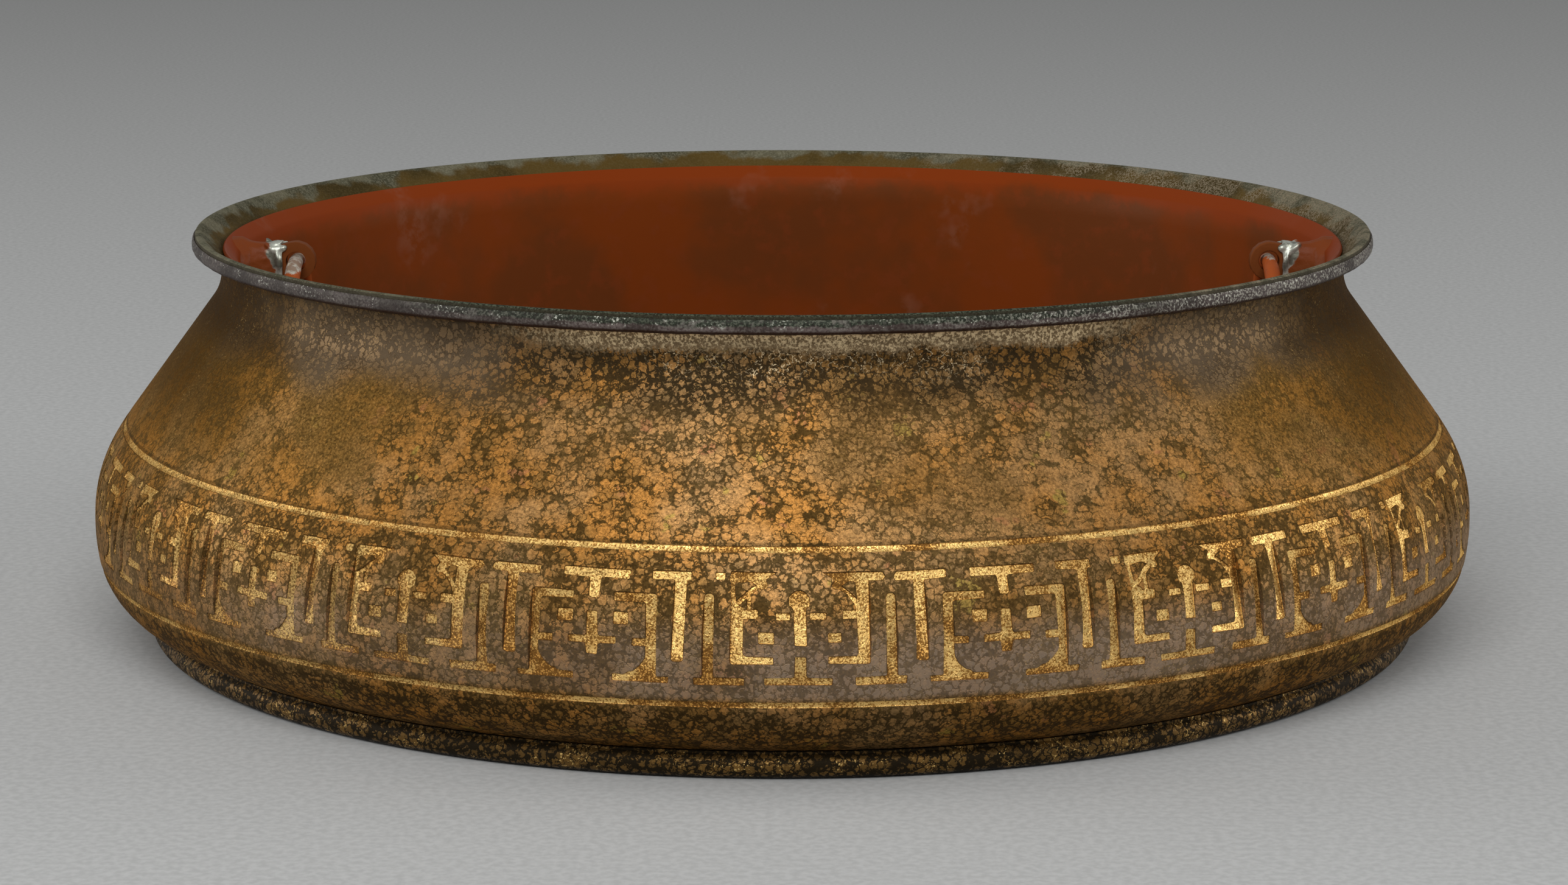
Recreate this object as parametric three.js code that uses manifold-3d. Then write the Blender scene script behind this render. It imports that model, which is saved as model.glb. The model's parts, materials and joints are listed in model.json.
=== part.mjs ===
// Bronze planter: a waisted bowl on a low foot ring, with a lift-out lacquered liner that has two ring handles.
// Millimetres, +Z up. The origin is on the table, under the middle of the bowl. -Y is the front, +X the right.
import * as THREE from "three";
import { mergeVertices } from "three/addons/utils/BufferGeometryUtils.js";
import Module from "manifold-3d";

const wasm = await Module();
wasm.setup();
const { Manifold, Mesh: ManifoldMesh } = wasm;

// Bowl: outside form. Heights are above the table, and insets are inwards from the widest place.
const bellyDiameter = 260; // the widest place
const bellyHeight = 22.7;
const bottomInset = 10.7; // bottom edge of the belly, above the foot ring
const shoulderInset = 6.7; // where the round belly runs into the straight shoulder
const shoulderHeight = 41;
const neckInset = 24.6; // the narrowest place
const neckDepth = 7.1; // of the narrowest place, below the rim
const neckCoveRadius = 10.3; // hollow curve between the shoulder and the neck
const rimHeight = 75.7; // top of the lip
const bowlWall = 1.8;
const bowlFloor = 1.8;

// Bowl: roundness of the belly. A pull is how far a curve keeps to its direction at an end.
const bottomRise = 21; // degrees above the horizontal at which the belly leaves its bottom edge
const bottomPull = 9.9;
const lowerBellyPull = 8.1;
const upperBellyPull = 7.9;
const shoulderPull = 6.8;

// Bowl: flared lip
const lipFlare = 4.75; // how far the lip's edge stands out past the neck
const lipEdgeThickness = 0.95;
const lipChamfer = 0.3;
const lipCrestWidth = 0.8; // flat top of the lip
const lipBevelWidth = 0.9; // short slope inside the crest
const lipBevelDrop = 0.75;
const mouthDepth = 3.5; // below the rim, where the lip's slope turns down into the neck
const mouthFlare = 1.7; // width and height of the cone there, which the liner's edge rests on
const mouthDrop = 1.8;

// Bowl: turned grooves that frame the band round the belly
const upperGrooveHeight = 39.9;
const lowerGrooveHeight = 15.3;
const grooveWidth = 0.9;
const grooveDepth = 0.45;

// Rim bead
const beadDiameter = 2;
const beadOverhang = 0.55; // how far the bead stands out past the lip's edge
const beadSeatStart = 205; // degrees, where the lip's hollow seat starts, behind the bead

// Foot ring
const footHeight = 4.8;
const footWidth = 6.7; // from the inside of the ring to its outermost line
const footBulge = 2.6; // how far its outside bulges past its flat underside
const footBulgeEnd = 55; // degrees, where the bulge ends in the crease under the belly
const footOverhang = 0.8; // how far the bulge stands out past the belly's bottom edge
const footChamfer = 0.4;

// Liner
const linerWall = 0.9;
const linerBottomHeight = 12; // underside of the pan
const linerTaper = 1.5; // degrees that the wall leans in towards the bottom
const linerCornerRadius = 9;

// Rings
const ringWire = 3;
const ringDiameter = 30; // to the middle of the wire

// Lugs on the liner, each with an eye for its ring
const lugThickness = 2.6;
const lugChamfer = 0.35;
const eyePlay = 0.8; // how much wider the eye is than the ring's wire
const eyeRim = 1.8; // metal round the eye
const eyeReach = 10.1; // from the liner's wall to the middle of the eye
const eyeDepth = 7.5; // of the eye's middle, below the rim
const lugRootAbove = 1.6; // the lug's root on the wall, from the height of the eye's middle
const lugRootBelow = 7.6;
const lugWeb = 5.4; // how far past the eye the lug's lower edge runs level

// Solder round the lugs' roots
const solderReach = 7.6; // from the wall along the lug, nearly to the eye
const solderSpread = 3; // how far it spreads on the wall beyond the lug
const solderSkin = 0.7; // its thickness where it ends on the lug
const solderHollow = 2.4; // power of its hollow slope

// Clearances
const seatGap = 0.3; // between pieces that rest on or are joined to each other
const linerClearance = 0.4; // round the liner in the neck

// Facets
const turnSteps = 72;
const ringSteps = 32;
const wireSides = 10;
const solderSides = 20;

const degrees = Math.PI / 180;
const point = (r, z) => new THREE.Vector2(r, z);

// Points of an arc in the profile plane, from one angle to another, in degrees
function arc(centre, radius, from, to, steps) {
  const points = [];
  for (let i = 0; i <= steps; i++) {
    const angle = (from + ((to - from) * i) / steps) * degrees;
    points.push(point(centre.x + radius * Math.cos(angle), centre.y + radius * Math.sin(angle)));
  }
  return points;
}

// Drops points that lie on the one before them
function distinct(points) {
  return points.filter((p, i) => i === 0 || p.distanceTo(points[i - 1]) > 0.02);
}

// An open curve moved sideways, to the left of its direction
function offset(points, distance) {
  return points.map((p, i) => {
    const before = points[Math.max(i - 1, 0)];
    const after = points[Math.min(i + 1, points.length - 1)];
    const along = after.clone().sub(before).normalize();
    return point(p.x - along.y * distance, p.y + along.x * distance);
  });
}

// A closed anticlockwise outline moved outwards, with its corners kept sharp
function grown(points, distance) {
  return points.map((p, i) => {
    const before = p.clone().sub(points.at(i - 1)).normalize();
    const after = points[(i + 1) % points.length].clone().sub(p).normalize();
    const outwards = point(before.y + after.y, -before.x - after.x);
    return p.clone().addScaledVector(outwards, distance / (1 + before.dot(after)));
  });
}

// Lowest and highest place of a closed outline at a radius
function spanAt(outline, radius) {
  const heights = [];
  outline.forEach((p, i) => {
    const q = outline[(i + 1) % outline.length];
    if ((p.x - radius) * (q.x - radius) < 0) {
      heights.push(p.y + ((q.y - p.y) * (radius - p.x)) / (q.x - p.x));
    }
  });
  return { low: Math.min(...heights), high: Math.max(...heights) };
}

// Turns a profile, given anticlockwise in radius and height, round the Z axis
function turned(profile) {
  return new THREE.LatheGeometry(profile, turnSteps).rotateX(Math.PI / 2);
}

// Turns a closed profile: the first point is repeated at the end
function turnedRing(profile) {
  return turned([...profile, profile[0]]);
}

// A skin through sections that follow each other along +X, closed flat at both ends
function loft(sections) {
  const sides = sections[0].length;
  const last = (sections.length - 1) * sides;
  const index = [];
  for (let a = 0; a < last; a++) {
    const b = a % sides === sides - 1 ? a + 1 - sides : a + 1;
    index.push(a, b, b + sides, a, b + sides, a + sides);
  }
  for (let i = 1; i + 1 < sides; i++) {
    index.push(0, i + 1, i, last, last + i, last + i + 1);
  }
  const geometry = new THREE.BufferGeometry().setFromPoints(sections.flat());
  geometry.setIndex(index);
  return geometry;
}

// three.js geometry to a manifold solid
function toSolid(geometry) {
  const bare = new THREE.BufferGeometry();
  bare.setAttribute("position", geometry.getAttribute("position"));
  bare.setIndex(geometry.getIndex());
  const merged = mergeVertices(bare, 1e-4);
  const index = merged.getIndex().array;
  const corners = [];
  for (let i = 0; i < index.length; i += 3) {
    const [a, b, c] = index.subarray(i, i + 3);
    if (a !== b && b !== c && c !== a) corners.push(a, b, c);
  }
  const mesh = new ManifoldMesh({
    numProp: 3,
    vertProperties: new Float32Array(merged.getAttribute("position").array),
    triVerts: new Uint32Array(corners),
  });
  mesh.merge();
  return new Manifold(mesh);
}

// Manifold solid back to a three.js geometry
function toGeometry(solid) {
  const mesh = solid.getMesh();
  const geometry = new THREE.BufferGeometry();
  geometry.setAttribute("position", new THREE.BufferAttribute(mesh.vertProperties, 3));
  geometry.setIndex(new THREE.BufferAttribute(mesh.triVerts, 1));
  geometry.computeVertexNormals();
  return geometry;
}

// Sizes that several pieces share
const bellyRadius = bellyDiameter / 2;
const bottomRadius = bellyRadius - bottomInset;
const neckRadius = bellyRadius - neckInset;
const neckInside = neckRadius - bowlWall;
const lipEdge = neckRadius + lipFlare;
const bowlUnderside = footHeight + seatGap;
const bowlFloorTop = bowlUnderside + bowlFloor;
const mouthBottom = point(neckInside, rimHeight - mouthDepth - mouthDrop);
const mouthTop = point(neckInside + mouthFlare, rimHeight - mouthDepth);
const beadRadius = beadDiameter / 2;
const beadMiddle = point(
  lipEdge + beadOverhang - beadRadius,
  rimHeight - lipEdgeThickness - seatGap - beadRadius,
);

// Outside of the bowl from its bottom edge up to the neck. The straight shoulder touches the cove under the neck.
function bellyAndShoulder() {
  const bottom = point(bottomRadius, bowlUnderside);
  const widest = point(bellyRadius, bellyHeight);
  const shoulder = point(bellyRadius - shoulderInset, shoulderHeight);
  const coveMiddle = point(neckRadius + neckCoveRadius, rimHeight - neckDepth);
  const across = shoulder.clone().sub(coveMiddle);
  const lean = Math.atan2(across.x, -across.y) + Math.asin(neckCoveRadius / across.length());
  const lower = new THREE.CubicBezierCurve(
    bottom,
    arc(bottom, bottomPull, bottomRise, bottomRise, 1)[0],
    point(widest.x, widest.y - lowerBellyPull),
    widest,
  );
  const upper = new THREE.CubicBezierCurve(
    widest,
    point(widest.x, widest.y + upperBellyPull),
    point(shoulder.x + shoulderPull * Math.sin(lean), shoulder.y - shoulderPull * Math.cos(lean)),
    shoulder,
  );
  const cove = arc(coveMiddle, neckCoveRadius, 180 + lean / degrees, 180, 4);
  return distinct([...lower.getPoints(7), ...upper.getPoints(7), ...cove]);
}

// Cuts a shallow V groove into the profile at a height, and drops the points that it swallows
function withGroove(points, height) {
  const k = points.findIndex((p, i) => i > 0 && points[i - 1].y <= height && p.y > height);
  const from = points[k - 1];
  const to = points[k];
  const along = to.clone().sub(from).normalize();
  const inward = point(-along.y, along.x);
  const middle = from.clone().lerp(to, (height - from.y) / (to.y - from.y));
  const groove = [
    middle.clone().addScaledVector(along, -grooveWidth / 2),
    middle.clone().addScaledVector(inward, grooveDepth),
    middle.clone().addScaledVector(along, grooveWidth / 2),
  ];
  const spare = grooveWidth / 4;
  const below = points.filter((p) => p.y < groove[0].y - spare);
  const above = points.filter((p) => p.y > groove[2].y + spare);
  return [...below, ...groove, ...above];
}

// The bowl's inner surface from the neck down to the floor's corner, with half as many points as the outside
function bowlHollow(outside) {
  const wall = offset(outside, bowlWall);
  const k = Math.max(1, wall.findIndex((p) => p.y > bowlFloorTop));
  const share = (bowlFloorTop - wall[k - 1].y) / (wall[k].y - wall[k - 1].y);
  const corner = wall[k - 1].clone().lerp(wall[k], share);
  const down = wall.slice(k + 1).reverse();
  return [...down.filter((p, i) => i % 2 === 0), corner];
}

function makeBowl() {
  const plain = bellyAndShoulder();
  const outside = withGroove(withGroove(plain, lowerGrooveHeight), upperGrooveHeight);

  // under the lip: a small flare, then the hollow seat of the bead
  const seatRadius = beadRadius + seatGap;
  const seatEnd = Math.acos((lipEdge - beadMiddle.x) / seatRadius) / degrees;
  const seat = arc(beadMiddle, seatRadius, beadSeatStart, seatEnd, 5);
  const throat = point(neckRadius, mouthBottom.y);
  const flare = new THREE.QuadraticBezierCurve(throat, point(throat.x, seat[0].y), seat[0]);

  // the lip's edge, crest and slope, and the cone that the liner rests on
  const crestBack = lipEdge - lipChamfer - lipCrestWidth;
  const lip = [
    point(lipEdge, rimHeight - lipChamfer),
    point(lipEdge - lipChamfer, rimHeight),
    point(crestBack, rimHeight),
    point(crestBack - lipBevelWidth, rimHeight - lipBevelDrop),
    mouthTop,
    mouthBottom,
  ];
  return turned([
    point(0, bowlUnderside),
    ...outside,
    ...flare.getPoints(3),
    ...seat.slice(1),
    ...lip,
    ...bowlHollow(plain),
    point(0, bowlFloorTop),
  ]);
}

function makeRimBead() {
  return turnedRing(arc(beadMiddle, beadRadius, 0, 315, 7));
}

function makeFootRing() {
  const outermost = bottomRadius + footOverhang;
  const inner = outermost - footWidth;
  const half = footHeight / 2;
  const bulge = new THREE.EllipseCurve(
    outermost - footBulge,
    half,
    footBulge,
    half,
    -90 * degrees,
    footBulgeEnd * degrees,
  ).getPoints(5);
  return turnedRing([
    point(inner + footChamfer, 0),
    ...bulge,
    point(bulge.at(-1).x, footHeight),
    point(inner, footHeight),
    point(inner, footChamfer),
  ]);
}

// Outside of the liner, from the middle of its floor up its wall to the edge that rests on the mouth's cone
const cone = mouthTop.clone().sub(mouthBottom);
const linerEdge = offset([mouthBottom, mouthTop], seatGap);
const collarRadius = neckInside - linerClearance;
const linerCollar = linerEdge[0].clone().addScaledVector(cone, (collarRadius - linerEdge[0].x) / cone.x);
const linerOutsideAt = (height) => linerCollar.x - (linerCollar.y - height) * Math.tan(linerTaper * degrees);
const linerInsideAt = (height) => linerOutsideAt(height) - linerWall / Math.cos(linerTaper * degrees);

function linerOutside() {
  const height = linerBottomHeight + linerCornerRadius;
  const cornerMiddle = point(linerOutsideAt(height) - linerCornerRadius, height);
  const corner = arc(cornerMiddle, linerCornerRadius, -90, 0, 5);
  return [point(0, linerBottomHeight), ...corner, linerCollar, linerEdge[1]];
}

function makeLiner() {
  const outside = linerOutside();
  const inside = offset(outside, linerWall).reverse();
  inside.at(-1).setX(0);
  return turned([...outside, ...inside]);
}

// Everything at a lug is made on the right, along +X, and turned half round for the left
const eyeHeight = rimHeight - eyeDepth;
const eyeRadius = (ringWire + eyePlay) / 2;
const eyeMiddle = point(linerInsideAt(eyeHeight) - eyeReach, eyeHeight);
const wireMiddle = point(eyeMiddle.x, eyeHeight - eyeRadius + seatGap + ringWire / 2);

// Outline of a lug in radius and height: round the eye, and along a web down to its root on the wall
function lugOutline() {
  const top = eyeHeight + lugRootAbove;
  const bottom = eyeHeight - lugRootBelow;
  const head = point(linerInsideAt(top) - seatGap, top);
  const foot = point(linerInsideAt(bottom) - seatGap, bottom);
  const lobeRadius = eyeRadius + eyeRim;
  const toHead = head.clone().sub(eyeMiddle);
  const start = (toHead.angle() + Math.acos(lobeRadius / toHead.length())) / degrees;
  const lobe = arc(eyeMiddle, lobeRadius, start, 270, 9);
  const under = lobe.at(-1);
  const web = new THREE.QuadraticBezierCurve(under, point(under.x + lugWeb, under.y), foot);
  return [head, ...lobe, ...web.getPoints(5).slice(1)];
}

// Stands a shape drawn in radius and height upright, as a plate centred on the XZ plane
function uprightPlate(shape, thickness, chamfer) {
  const plate = new THREE.ExtrudeGeometry(shape, {
    depth: thickness - 2 * chamfer,
    curveSegments: 8,
    bevelEnabled: chamfer > 0,
    bevelThickness: chamfer,
    bevelSize: chamfer,
    bevelOffset: -chamfer,
    bevelSegments: 1,
  });
  return plate.translate(0, 0, chamfer - thickness / 2).rotateX(Math.PI / 2);
}

function makeLug() {
  const shape = new THREE.Shape(lugOutline());
  const eye = new THREE.Path();
  eye.absarc(eyeMiddle.x, eyeMiddle.y, eyeRadius, 0, 2 * Math.PI, true);
  shape.holes.push(eye);
  return uprightPlate(shape, lugThickness, lugChamfer);
}

// Solder runs from the wall along the lug in a hollow slope: a thin skin near the eye, wide on the wall
function makeSolder() {
  const outline = lugOutline();
  const root = Math.min(outline[0].x, outline.at(-1).x);
  const wall = linerInsideAt(eyeHeight);
  const steps = 6;
  const sections = [];
  for (let s = 0; s <= steps + 1; s++) {
    const share = Math.min(s / steps, 1);
    const radius = wall + (s / steps - 1) * solderReach;
    const { low, high } = spanAt(outline, Math.min(radius, root) - 0.01);
    const spread = solderSkin + (solderSpread - solderSkin) * share ** solderHollow;
    const halfWidth = lugThickness / 2 + spread;
    const halfHeight = (high - low) / 2 + spread;
    const squareness = 0.5 + 0.4 * share;
    const section = [];
    for (let i = 0; i < solderSides; i++) {
      const c = Math.cos((i / solderSides) * 2 * Math.PI);
      const h = Math.sin((i / solderSides) * 2 * Math.PI);
      const y = halfWidth * Math.sign(c) * Math.abs(c) ** squareness;
      const z = (low + high) / 2 + halfHeight * Math.sign(h) * Math.abs(h) ** squareness;
      section.push(new THREE.Vector3(radius, y, z));
    }
    sections.push(section);
  }

  // it fills only the inside of the liner, clear of the wall and of the lug by the seat gap
  const inner = offset(linerOutside(), linerWall + seatGap);
  inner[0].setX(0);
  const room = turned([...inner, point(0, inner.at(-1).y)]);
  const slot = uprightPlate(new THREE.Shape(grown(outline, seatGap)), lugThickness + 2 * seatGap, 0);
  return toGeometry(toSolid(loft(sections)).intersect(toSolid(room)).subtract(toSolid(slot)));
}

// A closed ring of wire that hangs in the eye, in the plane across the lug
function makeRing() {
  const ring = new THREE.TorusGeometry(ringDiameter / 2, ringWire / 2, wireSides, ringSteps);
  return ring.rotateY(Math.PI / 2).translate(wireMiddle.x, 0, wireMiddle.y - ringDiameter / 2);
}

// Finishes
const bronze = new THREE.MeshStandardMaterial({ color: 0x7a5a2c, roughness: 0.45, metalness: 0.9 });
const beadBronze = new THREE.MeshStandardMaterial({ color: 0x5f5450, roughness: 0.5, metalness: 0.8 });
const footBronze = new THREE.MeshStandardMaterial({ color: 0x6e5326, roughness: 0.5, metalness: 0.9 });
const lacquer = new THREE.MeshStandardMaterial({ color: 0xa84a26, roughness: 0.4, metalness: 0.1 });
const solder = new THREE.MeshStandardMaterial({ color: 0xc9ccc4, roughness: 0.35, metalness: 0.9 });
const ringLacquer = new THREE.MeshStandardMaterial({ color: 0xc06a3e, roughness: 0.4, metalness: 0.2 });

const planter = new THREE.Group();

function add(name, geometry, material, parent = planter) {
  const mesh = new THREE.Mesh(geometry, material);
  mesh.name = name;
  parent.add(mesh);
}

add("bowl", makeBowl(), bronze);
add("rim_bead", makeRimBead(), beadBronze);
add("foot_ring", makeFootRing(), footBronze);
add("liner", makeLiner(), lacquer);

for (const [side, turn] of [["right", 0], ["left", Math.PI]]) {
  const handle = new THREE.Group();
  handle.rotation.z = turn;
  add(`lug_${side}`, makeLug(), lacquer, handle);
  add(`lug_solder_${side}`, makeSolder(), solder, handle);
  add(`ring_${side}`, makeRing(), ringLacquer, handle);
  planter.add(handle);
}

export default planter;
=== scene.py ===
# %% [markdown]
# # A low bronze planter with a lacquered liner
# The real object is a turned bronze bowl on a foot ring. A band of fret runs round its belly, sunk
# and gilded, between two gilded lines. A lacquered metal liner hangs inside, with two ring handles.
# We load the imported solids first, because every piece that follows is made around them and keeps
# their sizes. All lengths below are in millimetres and are scaled to metres as they are used.

import json
import math
import random

import bmesh
import bpy
import numpy as np
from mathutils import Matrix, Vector, noise

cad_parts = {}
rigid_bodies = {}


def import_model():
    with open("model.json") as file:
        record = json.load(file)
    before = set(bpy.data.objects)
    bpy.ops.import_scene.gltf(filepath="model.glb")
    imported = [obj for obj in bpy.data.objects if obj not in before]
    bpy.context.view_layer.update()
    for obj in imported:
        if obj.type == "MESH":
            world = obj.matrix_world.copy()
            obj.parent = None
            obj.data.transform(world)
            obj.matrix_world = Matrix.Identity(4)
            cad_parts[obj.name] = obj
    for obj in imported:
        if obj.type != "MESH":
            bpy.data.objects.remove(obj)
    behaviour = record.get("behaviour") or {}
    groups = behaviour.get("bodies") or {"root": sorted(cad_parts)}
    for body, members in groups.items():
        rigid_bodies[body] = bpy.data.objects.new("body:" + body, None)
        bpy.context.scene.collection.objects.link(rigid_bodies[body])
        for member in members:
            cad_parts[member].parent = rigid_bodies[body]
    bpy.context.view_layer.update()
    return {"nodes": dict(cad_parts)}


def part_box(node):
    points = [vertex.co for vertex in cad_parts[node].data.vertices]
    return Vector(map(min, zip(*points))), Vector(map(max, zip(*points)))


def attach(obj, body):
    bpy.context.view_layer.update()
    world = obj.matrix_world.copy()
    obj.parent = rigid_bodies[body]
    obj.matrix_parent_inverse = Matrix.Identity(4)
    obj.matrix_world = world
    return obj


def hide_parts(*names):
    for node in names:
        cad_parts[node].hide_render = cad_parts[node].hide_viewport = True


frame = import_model()
MM = 0.001
print("solids:", sorted(frame["nodes"]))

# %% [markdown]
# ## Camera, floor and lamps
# The camera looks a little down on the bowl, at the angle of the photograph, with a long lens.
# A big pale floor fills the whole picture, so no backdrop is needed. One wide lamp hangs in front
# and above, so that the belly is lit as fully as the shoulder and both darken towards the sides.
# Two smaller ones stand left and right and show as soft sheen on the neck. The world gives the
# rest of the light.

# %% Camera
CAMERA_PLACE = (0.0, -0.7616, 0.1831)
CAMERA_TILT = math.radians(90 - 11.148)
CAMERA_PAN = math.radians(-0.021)
LENS = 93.17

camera_data = bpy.data.cameras.new("camera")
camera_data.lens = LENS
camera_data.sensor_width = 36.0
camera = bpy.data.objects.new("camera", camera_data)
bpy.context.scene.collection.objects.link(camera)
camera.location = CAMERA_PLACE
camera.rotation_euler = (CAMERA_TILT, 0.0, CAMERA_PAN)
bpy.context.scene.camera = camera
bpy.context.scene.view_settings.view_transform = "Standard"
print("camera at", CAMERA_PLACE, "lens", LENS)


# %% Helpers for picking objects and parts of them
def pick(obj):
    """Leaves only this object selected, in object mode."""
    if bpy.context.object and bpy.context.object.mode != "OBJECT":
        bpy.ops.object.mode_set(mode="OBJECT")
    bpy.ops.object.select_all(action="DESELECT")
    if obj is not None:
        obj.select_set(True)
        bpy.context.view_layer.objects.active = obj
    return obj


def edit(obj):
    """Opens one object in edit mode with everything in it selected."""
    pick(obj)
    bpy.ops.object.mode_set(mode="EDIT")
    bpy.ops.mesh.select_mode(type="VERT")
    bpy.ops.mesh.select_all(action="SELECT")


def select_faces(obj, wanted):
    """In edit mode, selects the faces for which wanted(face) is true, and counts them."""
    bpy.ops.mesh.select_mode(type="FACE")
    bpy.ops.mesh.select_all(action="DESELECT")
    shape = bmesh.from_edit_mesh(obj.data)
    found = [face for face in shape.faces if wanted(face)]
    for face in found:
        face.select_set(True)
    bmesh.update_edit_mesh(obj.data)
    return len(found)


def select_points(obj, wanted):
    """In edit mode, selects the vertices for which wanted(vertex) is true, and counts them."""
    bpy.ops.mesh.select_mode(type="VERT")
    bpy.ops.mesh.select_all(action="DESELECT")
    shape = bmesh.from_edit_mesh(obj.data)
    found = [v for v in shape.verts if wanted(v)]
    for v in found:
        v.select_set(True)
    bmesh.update_edit_mesh(obj.data)
    return len(found)


# %% Helpers for shader nodes
def set_input(tree, socket, value):
    """Feeds a socket from another node's output, or sets it to a colour or a number."""
    if isinstance(value, bpy.types.NodeSocket):
        tree.links.new(value, socket)
    elif socket.type == "RGBA":
        socket.default_value = (*value, 1.0)
    else:
        socket.default_value = value


def node(tree, kind, settings=None, **inputs):
    """Adds a shader node; i0 is its first input, and the others go by their names."""
    made = tree.nodes.new("ShaderNode" + kind)
    for name, value in (settings or {}).items():
        setattr(made, name, value)
    for name, value in inputs.items():
        key = int(name[1:]) if name[0] == "i" and name[1:].isdigit() else name.replace("_", " ")
        set_input(tree, made.inputs[key], value)
    return made


def math_node(tree, operation, a, b=0.0, clamp=False):
    return node(tree, "Math", {"operation": operation, "use_clamp": clamp}, i0=a, i1=b).outputs[0]


def ease(tree, value, low, high, start=0.0, end=1.0):
    """A soft step from start to end as value goes from low to high."""
    made = node(tree, "MapRange", {"interpolation_type": "SMOOTHSTEP"}, Value=value)
    for name, number in (("From Min", low), ("From Max", high), ("To Min", start), ("To Max", end)):
        set_input(tree, made.inputs[name], number)
    return made.outputs[0]


def blend_colour(tree, factor, a, b, mode="MIX"):
    """Goes from colour a to colour b as factor goes from nought to one."""
    settings = {"data_type": "RGBA", "blend_type": mode, "clamp_factor": True}
    return node(tree, "Mix", settings, i0=factor, i6=a, i7=b).outputs[2]


def two_tones(tree, value, low, high, a, b):
    """Colour a where value is low, colour b where it is high, and a soft step between them."""
    return blend_colour(tree, ease(tree, value, low, high), a, b)


def noise_on(tree, scale, detail=3.0, roughness=0.5):
    """Noise from nought to one that is fixed to the object itself."""
    place = node(tree, "TexCoord").outputs["Object"]
    made = node(tree, "TexNoise", Vector=place, Scale=scale, Detail=detail, Roughness=roughness)
    return made.outputs["Fac"]


# %% Floor
FLOOR_SIZE = 16.0

pick(None)
bpy.ops.mesh.primitive_grid_add(x_subdivisions=8, y_subdivisions=8, size=FLOOR_SIZE, location=(0, 0, 0))
floor = bpy.context.object
floor.name = "floor"
floor_finish = bpy.data.materials.new("pale_paper")
floor_finish.use_nodes = True
tree = floor_finish.node_tree
shader = tree.nodes["Principled BSDF"]
fibre = noise_on(tree, 700.0, 4.0)
grey = two_tones(tree, fibre, 0.3, 0.7, (0.45, 0.455, 0.45), (0.52, 0.525, 0.52))
tree.links.new(grey, shader.inputs["Base Color"])
shader.inputs["Roughness"].default_value = 0.9
shader.inputs["Specular IOR Level"].default_value = 0.1
floor.data.materials.append(floor_finish)
print("floor", FLOOR_SIZE, "m")


# %% Lamps and world
def soft_lamp(name, place, towards, width, height, power):
    """A rectangular lamp at a place, turned towards a point."""
    lamp = bpy.data.lights.new(name, "AREA")
    lamp.shape = "RECTANGLE"
    lamp.size, lamp.size_y = width, height
    lamp.energy = power
    holder = bpy.data.objects.new(name, lamp)
    bpy.context.scene.collection.objects.link(holder)
    holder.location = place
    holder.rotation_euler = (Vector(towards) - Vector(place)).to_track_quat("-Z", "Y").to_euler()


LIT_POINT = (0, 0, 0.05)
soft_lamp("left_box", (-1.25, 0.05, 0.4), LIT_POINT, 0.7, 0.5, 5.4)
soft_lamp("right_box", (1.25, 0.0, 0.4), LIT_POINT, 0.7, 0.5, 4.6)
soft_lamp("front_box", (-0.1, -1.35, 1.15), LIT_POINT, 1.3, 0.9, 20.0)
world = bpy.data.worlds.new("studio")
bpy.context.scene.world = world
world.use_nodes = True
sky = world.node_tree.nodes["Background"]
sky.inputs["Color"].default_value = (0.5, 0.5, 0.5, 1.0)
sky.inputs["Strength"].default_value = 0.55


# %% [markdown]
# ## How a turned piece is made
# A turner cuts a profile while the metal goes round. We do the same: one vertex is extruded from
# point to point until the profile is drawn in the XZ plane, and the profile is then spun round
# the Z axis. Drawing it this way keeps every corner where the turner put it.

# %% Drawing a line and spinning it
def draw_line(name, points):
    """Draws a chain of edges through points in mm by extruding one vertex."""
    pick(None)
    start = Vector(points[0]) * MM
    bpy.ops.mesh.primitive_plane_add(size=MM, location=start)
    line = bpy.context.object
    line.name = line.data.name = name
    edit(line)
    bpy.ops.mesh.merge(type="CENTER")
    for a, b in zip(points, points[1:]):
        step = (Vector(b) - Vector(a)) * MM
        bpy.ops.mesh.extrude_region_move(TRANSFORM_OT_translate={"value": step})
    bpy.ops.object.mode_set(mode="OBJECT")
    bpy.ops.object.transform_apply(location=True, rotation=True, scale=True)
    return line


def spin_profile(line, steps):
    """Spins a drawn profile once round Z and welds its seam."""
    edit(line)
    bpy.ops.mesh.spin(steps=steps, angle=2 * math.pi, center=(0, 0, 0), axis=(0, 0, 1))
    bpy.ops.mesh.select_all(action="SELECT")
    bpy.ops.mesh.remove_doubles(threshold=0.01 * MM)
    bpy.ops.mesh.normals_make_consistent(inside=False)
    bpy.ops.object.mode_set(mode="OBJECT")
    return line


def turned(name, profile, steps):
    """A turned piece from (radius, height) points; a ring's profile ends where it starts."""
    made = spin_profile(draw_line(name, [(r, 0, z) for r, z in profile]), steps)
    print(name, len(made.data.polygons), "faces")
    return made


def curve_through(points, steps):
    """A smooth run through (radius, height) points, with so many steps between two of them."""
    run = [points[0]]
    for k in range(len(points) - 1):
        before = Vector(points[max(k - 1, 0)])
        a, b = Vector(points[k]), Vector(points[k + 1])
        after = Vector(points[min(k + 2, len(points) - 1)])
        for s in range(1, steps + 1):
            t = s / steps
            p = 0.5 * (2 * a + (b - before) * t + (2 * before - 5 * a + 4 * b - after) * t * t
                       + (3 * a - before - 3 * b + after) * t ** 3)
            run.append((p.x, p.y))
    return run


def straight(start, end, steps):
    """A straight run of points in so many steps, with both ends in it."""
    return [tuple(Vector(start).lerp(Vector(end), k / steps)) for k in range(steps + 1)]


def arc_points(middle, radius, start, end, steps):
    """The points of an arc from one angle to another, in degrees, with both ends in it."""
    turns = [math.radians(start + (end - start) * k / steps) for k in range(steps + 1)]
    return [(middle[0] + radius * math.cos(a), middle[1] + radius * math.sin(a)) for a in turns]


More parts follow.
